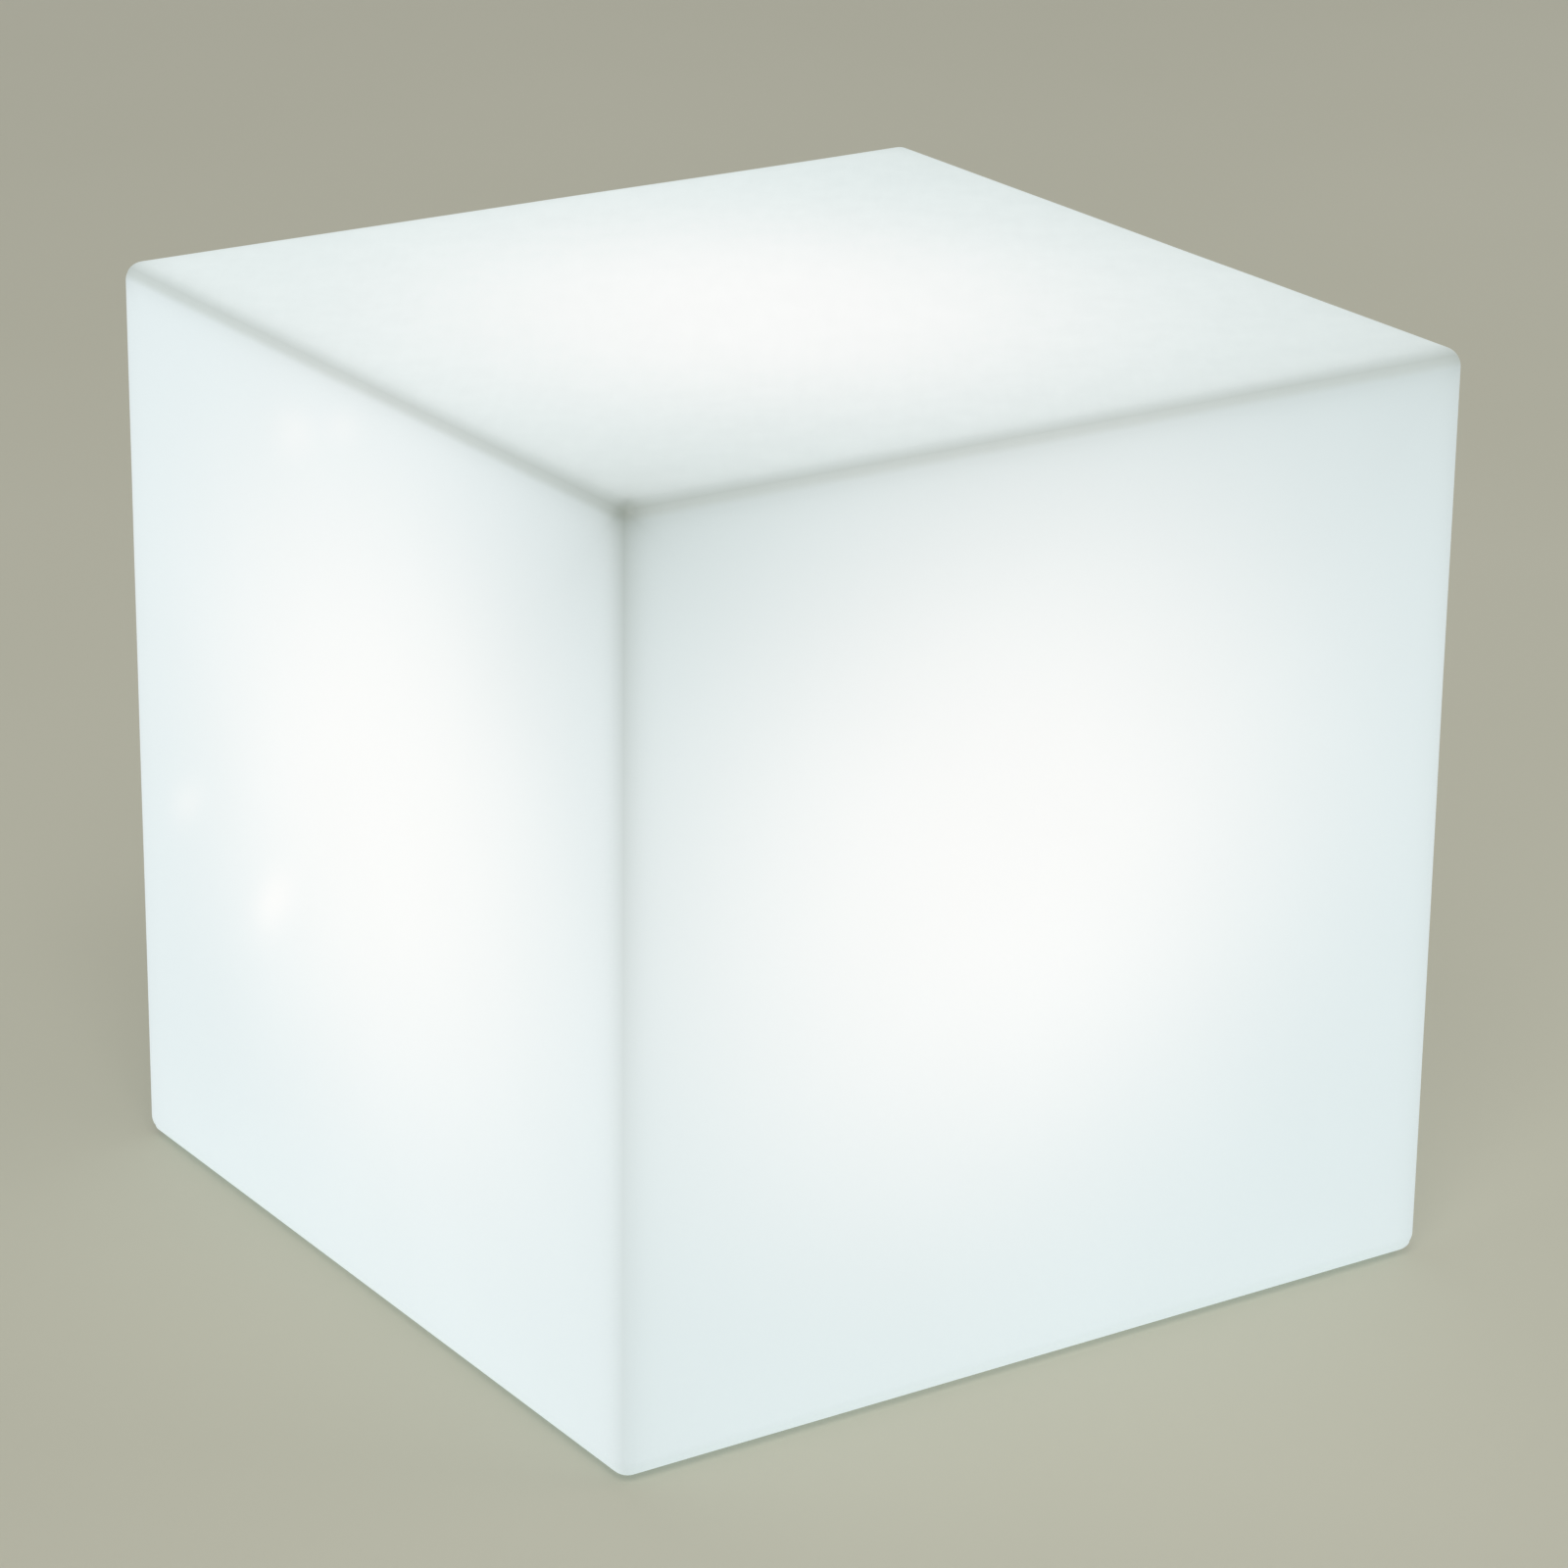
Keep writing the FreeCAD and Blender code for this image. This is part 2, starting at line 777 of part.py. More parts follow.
def battery_strap():
    """Bent strip over the pack with a foot on each side."""
    half = pack_width / 2 + part_gap
    low = floor_z + strap_boss_height
    top = strap_top_z
    outer = box((-strap_width / 2, pack_y - half - strap_thickness, low),
                (strap_width / 2, pack_y + half + strap_thickness, top))
    inner = box((-strap_width / 2, pack_y - half, low),
                (strap_width / 2, pack_y + half, top - strap_thickness))
    solids = [outer.cut(inner)]
    for sign in (-1, 1):
        near = pack_y + sign * half
        far = near + sign * (strap_thickness + strap_foot)
        solids.append(box((-strap_width / 2, min(near, far), low),
                          (strap_width / 2, max(near, far), low + strap_thickness)))
    hole = strap_screw_radius + screw_hole_clearance
    holes = [cylinder(x, y, low, low + strap_thickness, hole) for x, y in strap_screw_spots]
    return without(joined(solids), holes)


def strap_screws():
    seat = floor_z + strap_boss_height + strap_thickness
    return group([
        pan_screw(x, y, seat, strap_screw_radius, strap_screw_length, strap_screw_head_radius,
                  strap_screw_head_height, False)
        for x, y in strap_screw_spots
    ])


# ---------------------------------------------------------------- control board and what is on it
led_socket_y = light_pipe_y - socket_depth
battery_socket_x = board_half_width - board_post_inset - board_post_radius - socket_width / 2
battery_socket_y = board_front + socket_depth


def control_board():
    """Board on four posts above the switch and the charging socket."""
    plate = rounded_plate((-board_half_width, board_front, board_z),
                          (board_half_width, board_back, board_top_z), board_corner_radius)
    hole = board_screw_radius + screw_hole_clearance
    return without(plate, [cylinder(x, y, board_z, board_top_z, hole) for x, y in board_post_spots])


def board_screws():
    return group([
        pan_screw(x, y, board_top_z, board_screw_radius, board_screw_length, board_screw_head_radius,
                  board_screw_head_height, False)
        for x, y in board_post_spots
    ])


def board_chips():
    """Charge controller and lamp controller."""
    solids = []
    for x in (-controls_x / 2, controls_x / 2):
        y = (board_front + board_back) / 2
        solids.append(box((x - chip_side / 2, y - chip_side / 2, board_top_z),
                          (x + chip_side / 2, y + chip_side / 2, board_top_z + chip_height)))
    return group(solids)


def driver_inductor():
    """Wound choke of the lamp driver, with a waist."""
    y = (board_front + board_back) / 2
    waist_low = board_top_z + inductor_height * inductor_waist_low_share
    waist_high = board_top_z + inductor_height * inductor_waist_high_share
    waist_radius = inductor_radius * inductor_waist_radius_share
    full = cylinder(-controls_x, y, board_top_z, board_top_z + inductor_height, inductor_radius)
    return full.cut(tube(-controls_x, y, waist_low, waist_high, inductor_radius + overlap, waist_radius))


def board_capacitors():
    y = (board_front + board_back) / 2
    return group([
        cylinder(controls_x, y + sign * (capacitor_radius + part_gap), board_top_z,
                 board_top_z + capacitor_height, capacitor_radius)
        for sign in (-1, 1)
    ])


def wire_socket(x, y, facing):
    """Open-fronted connector; facing is the Y sign of the side that the leads leave from."""
    body = box((x - socket_width / 2, y - socket_depth / 2, board_top_z),
               (x + socket_width / 2, y + socket_depth / 2, board_top_z + socket_height))
    mouth_far = y + facing * socket_depth / 2
    mouth_near = mouth_far - facing * (socket_depth - 2 * socket_wall)
    mouth = box((x - socket_width / 2 + socket_wall, min(mouth_far, mouth_near), board_top_z + socket_wall),
                (x + socket_width / 2 - socket_wall, max(mouth_far, mouth_near),
                 board_top_z + socket_height - socket_wall))
    return body.cut(mouth)


def wire_sockets():
    return group([
        wire_socket(0, led_socket_y, 1),
        wire_socket(battery_socket_x, battery_socket_y, -1),
    ])


def status_led():
    half = status_led_side / 2
    return box((-half, light_pipe_y - half, board_z - status_led_height),
               (half, light_pipe_y + half, board_z))


def light_pipe():
    """Clear rod that carries the charge light down to the underside."""
    rod = cylinder(0, light_pipe_y, base_z - light_pipe_stand_out, board_z - status_led_height - part_gap,
                   light_pipe_radius)
    collar = cylinder(0, light_pipe_y, floor_z, floor_z + light_pipe_collar_height, light_pipe_collar_radius)
    return joined([rod, collar])


# ---------------------------------------------------------------- push switch
def switch_body():
    """Threaded barrel with a flat head, bored for the button and its spring."""
    head = cylinder(switch_x, controls_y, switch_face_z, base_z, switch_head_radius)
    head = head.makeChamfer(switch_head_chamfer, [edge_at_height(head, switch_face_z)])
    barrel = cylinder(switch_x, controls_y, base_z, switch_barrel_z, switch_thread_radius)
    bore = button_radius + button_running_clearance
    room = button_collar_radius + 2 * button_running_clearance
    return without(joined([head, barrel]), [
        cylinder(switch_x, controls_y, switch_face_z, button_lip_z, bore),
        cylinder(switch_x, controls_y, button_lip_z, switch_barrel_z, room),
        torus(switch_x, controls_y, base_z, switch_seal_ring(), switch_seal_radius + seal_groove_clearance),
    ])


def edge_at_height(solid, height):
    """The round edge of a solid that lies at one height."""
    for edge in solid.Edges:
        bounds = edge.BoundBox
        if abs(bounds.ZMin - height) < 1e-6 and abs(bounds.ZMax - height) < 1e-6:
            return edge
    raise ValueError("no edge at that height")


def switch_seal():
    """Ring seal in the grooves of the head and of the floor."""
    return torus(switch_x, controls_y, base_z, switch_seal_ring(), switch_seal_radius)


def switch_nut():
    nut = hexagon(switch_x, controls_y, floor_z, floor_z + switch_nut_thickness, switch_nut_width)
    hole = switch_thread_radius + thread_clearance
    return nut.cut(cylinder(switch_x, controls_y, floor_z, floor_z + switch_nut_thickness, hole))


def power_button():
    """Push button with a dished face and a collar that stops it in the barrel."""
    face_z = switch_face_z - button_stand_out
    stem = cylinder(switch_x, controls_y, face_z, button_top_z, button_radius)
    stem = stem.makeFillet(button_dish, [edge_at_height(stem, face_z)])
    collar = cylinder(switch_x, controls_y, button_collar_z, button_top_z, button_collar_radius)
    dish_radius = (button_radius**2 / 4 + button_dish**2) / (2 * button_dish)
    dish = Part.makeSphere(dish_radius, vector(switch_x, controls_y, face_z + button_dish - dish_radius))
    return joined([stem, collar]).cut(dish)


def switch_spring():
    """Return spring between the button and the back of the switch."""
    height = spring_length - 2 * spring_wire_radius - 2 * button_stop_gap
    start_z = button_top_z + button_stop_gap + spring_wire_radius
    path = Part.makeHelix(height / spring_turns, height, spring_coil_radius)
    path.translate(vector(switch_x, controls_y, start_z))
    start = vector(switch_x + spring_coil_radius, controls_y, start_z)
    section = Part.Wire([Part.Circle(start, vector(0, 1, 0), spring_wire_radius).toShape()])
    return Part.Wire(path.Edges).makePipeShell([section], True, True)


def switch_back():
    """Insulating plug that closes the barrel and carries the terminals."""
    plug = cylinder(switch_x, controls_y, spring_roof_z, switch_barrel_z,
                    button_collar_radius + button_running_clearance)
    cap = cylinder(switch_x, controls_y, switch_barrel_z, switch_back_z, switch_thread_radius)
    return joined([plug, cap])


def blades(x, y, low, spacing):
    """Two flat terminals side by side along X."""
    solids = []
    for sign in (-1, 1):
        middle = x + sign * spacing / 2
        solids.append(box((middle - terminal_width / 2, y - terminal_thickness / 2, low),
                          (middle + terminal_width / 2, y + terminal_thickness / 2, low + terminal_length)))
    return group(solids)


def switch_terminals():
    return blades(switch_x, controls_y, switch_back_z, terminal_spacing)


def solder_leads(x, y, low, spacing):
    """Two straight leads from the tops of the terminals to the board above."""
    return group([
        cylinder(x + sign * spacing / 2, y, low + terminal_length, board_z, lead_radius) for sign in (-1, 1)
    ])


def switch_leads():
    return solder_leads(switch_x, controls_y, switch_back_z, terminal_spacing)


# ---------------------------------------------------------------- charging socket
def charge_jack():
    """Round socket for a barrel plug, put in from below and held by a nut inside."""
    flange = cylinder(jack_x, controls_y, jack_face_z, jack_seat_z, jack_flange_radius)
    barrel = cylinder(jack_x, controls_y, jack_seat_z, jack_barrel_z, jack_thread_radius)
    rear = cylinder(jack_x, controls_y, jack_barrel_z, jack_rear_z, jack_rear_radius)
    bore = cylinder(jack_x, controls_y, jack_face_z, jack_face_z + jack_bore_depth, jack_bore_radius)
    return joined([flange, barrel, rear]).cut(bore)


def jack_pin():
    """Centre contact that stands in the socket's bore."""
    return cylinder(jack_x, controls_y, jack_face_z + jack_pin_setback, jack_face_z + jack_bore_depth,
                    jack_pin_radius)


def jack_seal():
    return tube(jack_x, controls_y, jack_seat_z, well_roof_z, jack_flange_radius,
                jack_thread_radius + jack_hole_clearance)


def jack_nut():
    low = well_roof_z + well_roof
    nut = hexagon(jack_x, controls_y, low, low + jack_nut_thickness, jack_nut_width)
    hole = jack_thread_radius + thread_clearance
    return nut.cut(cylinder(jack_x, controls_y, low, low + jack_nut_thickness, hole))


def jack_tags():
    return blades(jack_x, controls_y, jack_rear_z, jack_tag_spacing)


def jack_leads():
    return solder_leads(jack_x, controls_y, jack_rear_z, jack_tag_spacing)


# ---------------------------------------------------------------- door of the charging port
def hinge_pin_bar(radius):
    """Round bar along the door's hinge line, as long as the two ears are apart outside."""
    half = knuckle_half_length + hinge_gap + ear_width
    return Part.makeCylinder(radius, 2 * half, vector(jack_x - half, hinge_y, hinge_z), vector(1, 0, 0))


def door_pin():
    return hinge_pin_bar(door_pin_radius)


def door_top_z():
    return base_z - door_top_gap - door_seal_thickness


def port_door():
    """Flap over the charging socket, with its hinge knuckle and a lip to pull."""
    near = hinge_y + knuckle_radius + hinge_edge_gap
    low = door_top_z() - door_thickness
    plate = rounded_plate((jack_x - door_half_width, near, low),
                          (jack_x + door_half_width, hinge_y + door_reach, door_top_z()), door_corner_radius)
    arm = box((jack_x - knuckle_half_length, hinge_y, low),
              (jack_x + knuckle_half_length, near + door_corner_radius, door_top_z()))
    knuckle = Part.makeCylinder(knuckle_radius, 2 * knuckle_half_length,
                                vector(jack_x - knuckle_half_length, hinge_y, hinge_z), vector(1, 0, 0))
    return joined([plate, arm, knuckle]).cut(hinge_pin_bar(door_pin_radius + door_pin_clearance))


def port_seal():
    """Silicone plug on the inside of the door: a flat flange and a tapered stub that enters the well."""
    top = door_top_z() + door_seal_thickness
    flange = cylinder(jack_x, controls_y, door_top_z(), top, door_seal_radius)
    stub = cone(jack_x, controls_y, top, top + door_stub_height, door_stub_base_radius, door_stub_tip_radius)
    return joined([flange, stub])


# ---------------------------------------------------------------- pressure vent
def vent_plug():
    """Snap-in vent with radial slots in its head and a bore up to the membrane."""
    low = base_z - vent_head_height
    top = floor_z + vent_stem_rise
    head = cylinder(0, vent_y, low, base_z, vent_head_radius)
    stem = cylinder(0, vent_y, base_z, top, vent_stem_radius)
    barb = cone(0, vent_y, floor_z + part_gap, top, vent_stem_radius + vent_barb, vent_stem_radius)
    cuts = [
        cylinder(0, vent_y, low + vent_head_height / 2, top, vent_bore_radius),
        cylinder(0, vent_y, top - membrane_seat, top, vent_bore_radius + part_gap),
        torus(0, vent_y, base_z, vent_seal_ring(), vent_seal_radius + seal_groove_clearance),
    ]
    for i in range(vent_slot_count):
        slot = box((0, -vent_slot_width / 2, low),
                   (vent_head_radius, vent_slot_width / 2, low + vent_head_height / 2))
        middle = cylinder(0, 0, low + vent_head_height / 4, low + vent_head_height / 2, vent_bore_radius)
        slot = slot.fuse(middle)
        slot.rotate(vector(0, 0, 0), vector(0, 0, 1), 360.0 * i / vent_slot_count)
        slot.translate(vector(0, vent_y, 0))
        cuts.append(slot)
    return without(joined([head, stem, barb]), cuts)


def vent_membrane():
    """Breathable disc lying on the step in the vent's bore."""
    low = floor_z + vent_stem_rise - membrane_seat
    return cylinder(0, vent_y, low, low + membrane_thickness, vent_bore_radius + part_gap / 2)


def vent_seal():
    return torus(0, vent_y, base_z, vent_seal_ring(), vent_seal_radius)


# ---------------------------------------------------------------- light engine
def plate_seal():
    """Flat ring between the pot's rim and the heat plate."""
    return tube(0, 0, rim_z, plate_z, pot_radius - plate_seal_margin, pot_inner_radius + plate_seal_margin)


def heat_plate():
    """Aluminium disc that closes the pot and carries the lamp board."""
    plate = cylinder(0, 0, plate_z, plate_top_z, pot_radius)
    cuts = [cylinder(0, grommet_y, plate_z, plate_top_z, grommet_hole_radius)]
    for x, y in dome_screw_spots:
        cuts.append(cylinder(x, y, plate_z, plate_top_z, dome_screw_radius + screw_hole_clearance))
    tip = led_board_top_z - led_board_screw_length
    for x, y in led_board_screw_spots:
        cuts.append(cylinder(x, y, tip - thread_clearance, plate_top_z,
                             led_board_screw_radius + thread_clearance))
    return without(plate, cuts)


def drilled_disc(low, high, radius):
    """Disc with clearance holes for the lamp board's screws."""
    hole = led_board_screw_radius + screw_hole_clearance
    return without(
        cylinder(0, 0, low, high, radius),
        [cylinder(x, y, low, high, hole) for x, y in led_board_screw_spots],
    )


def thermal_pad():
    return drilled_disc(plate_top_z, led_board_z, led_board_radius - thermal_pad_margin)


def led_board():
    return drilled_disc(led_board_z, led_board_top_z, led_board_radius)


def led_chips():
    """Square light chips on two rings, each turned to face outwards, with a round window."""
    rings = (
        (led_inner_count, led_inner_ring),
        (led_outer_count, led_outer_ring),
    )
    top = led_board_top_z + led_height
    solids = []
    for count, ring in rings:
        for i in range(count):
            half = led_size / 2
            chip = box((ring - half, -half, led_board_top_z), (ring + half, half, top))
            chip = chip.cut(cylinder(ring, 0, top - led_window_depth, top, led_window_radius))
            chip.rotate(vector(0, 0, 0), vector(0, 0, 1), 360.0 * (i + 0.5) / count)
            solids.append(chip)
    return group(solids)


def led_board_screws():
    return group([
        pan_screw(x, y, led_board_top_z, led_board_screw_radius, led_board_screw_length,
                  led_board_screw_head_radius, led_board_screw_head_height, False)
        for x, y in led_board_screw_spots
    ])


def dome_outline(radius, rise, low):
    """Domed solid: straight up to the flange's top, then part of a sphere that is rise high."""
    base = dome_flange_top_z
    sphere_radius = (radius**2 + rise**2) / (2 * rise)
    centre_z = base + rise - sphere_radius
    low_angle = math.asin((base - centre_z) / sphere_radius)
    middle_angle = (low_angle + math.pi / 2) / 2
    middle = (sphere_radius * math.cos(middle_angle), 0, centre_z + sphere_radius * math.sin(middle_angle))
    return spun([
        line((0, 0, low), (radius, 0, low)),
        line((radius, 0, low), (radius, 0, base)),
        arc((radius, 0, base), middle, (0, 0, base + rise)),
        line((0, 0, base + rise), (0, 0, low)),
    ])


def lamp_dome():
    """Frosted dome with a flange, grooved underneath for its ring seal."""
    flange = cylinder(0, 0, plate_top_z, dome_flange_top_z, pot_radius - dome_flange_margin)
    solid = joined([flange, dome_outline(dome_radius, dome_rise, plate_top_z)])
    groove = 2 * dome_seal_radius + seal_groove_clearance
    ring = dome_screw_ring - dome_seal_inset
    cuts = [
        dome_outline(dome_inner_radius, dome_rise - dome_wall, plate_top_z),
        tube(0, 0, plate_top_z, plate_top_z + groove, ring + groove / 2, ring - groove / 2),
    ]
    for x, y in dome_screw_spots:
        cuts.append(cylinder(x, y, plate_top_z, dome_flange_top_z, dome_screw_radius + screw_hole_clearance))
    return without(solid, cuts)


def dome_seal():
    ring = dome_screw_ring - dome_seal_inset
    return torus(0, 0, plate_top_z + dome_seal_radius + seal_groove_clearance / 2, ring, dome_seal_radius)


def dome_ring():
    """Clamping ring over the dome's flange."""
    inner = dome_radius + dome_ring_margin
    ring = tube(0, 0, dome_flange_top_z, dome_ring_top_z, pot_radius - dome_ring_margin, inner)
    outer_edge = [
        edge for edge in ring.Edges
        if abs(edge.BoundBox.ZMin - dome_ring_top_z) < 1e-6 and edge.BoundBox.XMax > inner + 1
    ]
    ring = ring.makeFillet(dome_ring_edge, outer_edge)
    hole = dome_screw_radius + screw_hole_clearance
    holes = [cylinder(x, y, dome_flange_top_z, dome_ring_top_z, hole) for x, y in dome_screw_spots]
    return without(ring, holes)


def dome_screws():
    """Long screws through ring, dome flange and heat plate into the pot's bosses."""
    return group([
        pan_screw(x, y, dome_ring_top_z, dome_screw_radius, dome_screw_length, dome_screw_head_radius,
                  dome_screw_head_height, False)
        for x, y in dome_screw_spots
    ])


# ---------------------------------------------------------------- leads
def lead_grommet():
    """Rubber bush where the lamp leads pass the heat plate."""
    waist = cylinder(0, grommet_y, plate_z, plate_top_z, grommet_hole_radius - thread_clearance)
    lower = cylinder(0, grommet_y, plate_z - grommet_lip, plate_z, grommet_hole_radius + grommet_flange)
    upper = cylinder(0, grommet_y, plate_top_z, plate_top_z + grommet_lip,
                     grommet_hole_radius + grommet_flange)
    holes = [
        cylinder(sign * lead_pitch / 2, grommet_y, plate_z - grommet_lip, plate_top_z + grommet_lip,
                 lead_radius + thread_clearance)
        for sign in (-1, 1)
    ]
    return without(joined([waist, lower, upper]), holes)


def led_lead(sign):
    """From the board's socket, up through the grommet and over to the lamp board."""
    x = sign * lead_pitch / 2
    socket_z = board_top_z + socket_height / 2
    start_y = led_socket_y + socket_depth / 2 - socket_wall
    top = led_board_top_z + lead_hoop
    return lead([
        (x, start_y, socket_z),
        (x, grommet_y, socket_z),
        (x, grommet_y, top),
        (x, grommet_y - lead_hoop, top),
        (x, grommet_y - lead_hoop, led_board_top_z),
    ])


def led_leads():
    return group([led_lead(-1), led_lead(1)])


def battery_lead(index):
    """From the protection board round to the board's socket; the second lead lies outside the first."""
    board_face = cell_length / 2 + cell_terminal_height + link_thickness + protection_board_thickness
    out_x = board_face + battery_lead_reach + index * battery_lead_step
    start_y = pack_front - battery_lead_depth - index * battery_lead_step
    turn_y = pack_front + lead_radius + battery_lead_gap + (1 - index) * battery_lead_step
    socket_x = battery_socket_x + lead_pitch / 2 - index * lead_pitch
    start_z = floor_z + pack_width / 2 + protection_board_height / 4
    socket_z = board_top_z + socket_height / 2
    end_y = battery_socket_y - socket_depth / 2 + socket_wall
    return lead([
        (board_face, start_y, start_z),
        (out_x, start_y, start_z),
        (out_x, turn_y, socket_z),
        (socket_x, turn_y, socket_z),
        (socket_x, end_y, socket_z),
    ])


def battery_leads():
    return group([battery_lead(0), battery_lead(1)])


# ---------------------------------------------------------------- all nodes
nodes = {
    "cube_shell": cube_shell,
    "threaded_inserts": threaded_inserts,
    "base_gasket": base_gasket,
    "base_housing": base_housing,
    "base_screws": base_screws,
    "battery_sleeve": battery_sleeve,
    "cell_links": cell_links,
    "protection_board": protection_board,
    "battery_strap": battery_strap,
    "strap_screws": strap_screws,
    "control_board": control_board,
    "board_screws": board_screws,
    "board_chips": board_chips,
    "driver_inductor": driver_inductor,
    "board_capacitors": board_capacitors,
    "wire_sockets": wire_sockets,
    "status_led": status_led,
    "light_pipe": light_pipe,
    "switch_body": switch_body,
    "switch_seal": switch_seal,
    "switch_nut": switch_nut,
    "switch_spring": switch_spring,
    "switch_back": switch_back,
    "switch_terminals": switch_terminals,
    "switch_leads": switch_leads,
    "power_button": power_button,
    "charge_jack": charge_jack,
    "jack_pin": jack_pin,
    "jack_seal": jack_seal,
    "jack_nut": jack_nut,
    "jack_tags": jack_tags,
    "jack_leads": jack_leads,
    "port_door": port_door,
    "port_seal": port_seal,
    "door_pin": door_pin,
    "vent_plug": vent_plug,
    "vent_membrane": vent_membrane,
    "vent_seal": vent_seal,
    "plate_seal": plate_seal,
    "heat_plate": heat_plate,
    "thermal_pad": thermal_pad,
    "led_board": led_board,
    "led_chips": led_chips,
    "led_board_screws": led_board_screws,
    "lamp_dome": lamp_dome,
    "dome_seal": dome_seal,
    "dome_ring": dome_ring,
    "dome_screws": dome_screws,
    "lead_grommet": lead_grommet,
    "led_leads": led_leads,
    "battery_leads": battery_leads,
}


def main():
    os.makedirs("parts", exist_ok=True)
    shapes = {name: make() for name, make in nodes.items()}
    for place, signs in foot_places.items():
        shapes[f"foot_{place}"] = foot(signs)
    for index in range(len(cell_centres())):
        shapes[f"battery_cell_{index + 1}"] = battery_cell(index)
    for name, shape in shapes.items():
        print(f"{name}: {len(shape.Solids)} solids, valid {shape.isValid()}, {shape.Volume / 1000:.2f} cm3")
        shape.exportStep(f"parts/{name}.step")


main()
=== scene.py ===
import json
import math
from collections import namedtuple
import bmesh
import bpy
from mathutils import Matrix, Vector


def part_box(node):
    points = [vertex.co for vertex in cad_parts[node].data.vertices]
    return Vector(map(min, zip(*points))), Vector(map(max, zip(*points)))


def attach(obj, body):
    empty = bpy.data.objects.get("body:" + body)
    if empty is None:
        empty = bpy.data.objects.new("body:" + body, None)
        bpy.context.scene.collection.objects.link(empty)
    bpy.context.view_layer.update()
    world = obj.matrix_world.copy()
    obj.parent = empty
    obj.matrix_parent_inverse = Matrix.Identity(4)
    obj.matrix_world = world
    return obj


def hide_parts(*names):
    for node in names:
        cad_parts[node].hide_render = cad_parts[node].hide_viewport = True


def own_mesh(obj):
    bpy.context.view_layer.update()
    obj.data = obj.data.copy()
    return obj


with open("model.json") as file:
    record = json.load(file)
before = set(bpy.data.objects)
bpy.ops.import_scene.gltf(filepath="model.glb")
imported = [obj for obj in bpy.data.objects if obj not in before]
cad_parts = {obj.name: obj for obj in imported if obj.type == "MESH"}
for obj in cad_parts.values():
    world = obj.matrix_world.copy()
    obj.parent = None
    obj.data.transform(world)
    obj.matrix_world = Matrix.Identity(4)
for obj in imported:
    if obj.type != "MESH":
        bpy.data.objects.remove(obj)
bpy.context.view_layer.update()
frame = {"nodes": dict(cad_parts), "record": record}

MM = 0.001
FULL_TURN = 2 * math.pi


def middle_of(node):
    """Middle of a node's box."""
    low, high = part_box(node)
    return (low + high) / 2


# ------------------------ sizes of the cube, in metres
shell_low, shell_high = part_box("cube_shell")
half_side = shell_high.x
stand_off = shell_low.z
cube_top = shell_high.z
wall = 4 * MM
edge_radius = 9 * MM
face_sag = 0.4 * MM
waviness = 0.9 * MM
cells_along_side = 48

# Share of a face's cells that lie on its flat; the others bend round its edges.
flat_share = 0.75

shelf_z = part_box("base_gasket")[1].z
shelf_thickness = 5 * MM
shelf_width = 22 * MM
housing_gap = 3 * MM
recess_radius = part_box("base_housing")[1].x + housing_gap
opening_radius = recess_radius - shelf_width
mouth_radius = 5 * MM
corner_radius = 3 * MM
insert_count = 6
first_insert_angle = math.radians(30)
insert_ring = opening_radius + shelf_width / 2
insert_boss_radius = 7.55 * MM
insert_boss_top = shelf_z + 13 * MM

foot_names = ("foot_front_left", "foot_front_right", "foot_back_left", "foot_back_right")
foot_radius = 12 * MM
foot_taper = 1.5 * MM
foot_gap = 0.3 * MM
foot_pocket_top = stand_off + 2.5 * MM

# How far a cutting tool or a kept post goes past the face that it cuts.
overshoot = 1 * MM

# Points nearer than this are one point.
seam_gap = 0.001 * MM

dome_screw_count = 6
lamp_screw_count = 3
lamp_screw_ring = 26 * MM
chip_rings = ((8, 18 * MM), (16, 34 * MM))
turn_seed = 7

switch_middle = middle_of("switch_body")
spring_radius = 4.4 * MM
spring_wire = 0.35 * MM
spring_turns = 5.0

# Screws: radius of the shank, its length, radius and height of the head, and radius of its hexagon socket.
Screw = namedtuple("Screw", "shank length head head_height socket")
base_screw = Screw(2.0 * MM, 12 * MM, 3.9 * MM, 2.4 * MM, 1.25 * MM)
dome_screw = Screw(1.5 * MM, 20 * MM, 2.8 * MM, 2.0 * MM, 1.1 * MM)
lamp_screw = Screw(1.5 * MM, 4.5 * MM, 2.7 * MM, 1.8 * MM, 1.1 * MM)

# A screw's thread and tip as shares of its shank's radius, its neck of the pitch, and its seat of the head.
thread_pitch_share = 0.35
thread_depth_share = 0.16
tip_share = 0.6
neck_share = 0.1
seat_share = 0.99

# A screw's socket: radii and chamfer as shares of its own radius, depths as shares of the head's height.
socket_mouth_share = 1.22
socket_top_share = 1.02
socket_chamfer_share = 0.12
socket_cone_share = 0.4
socket_floor_share = 0.42
socket_bottom_share = 0.36


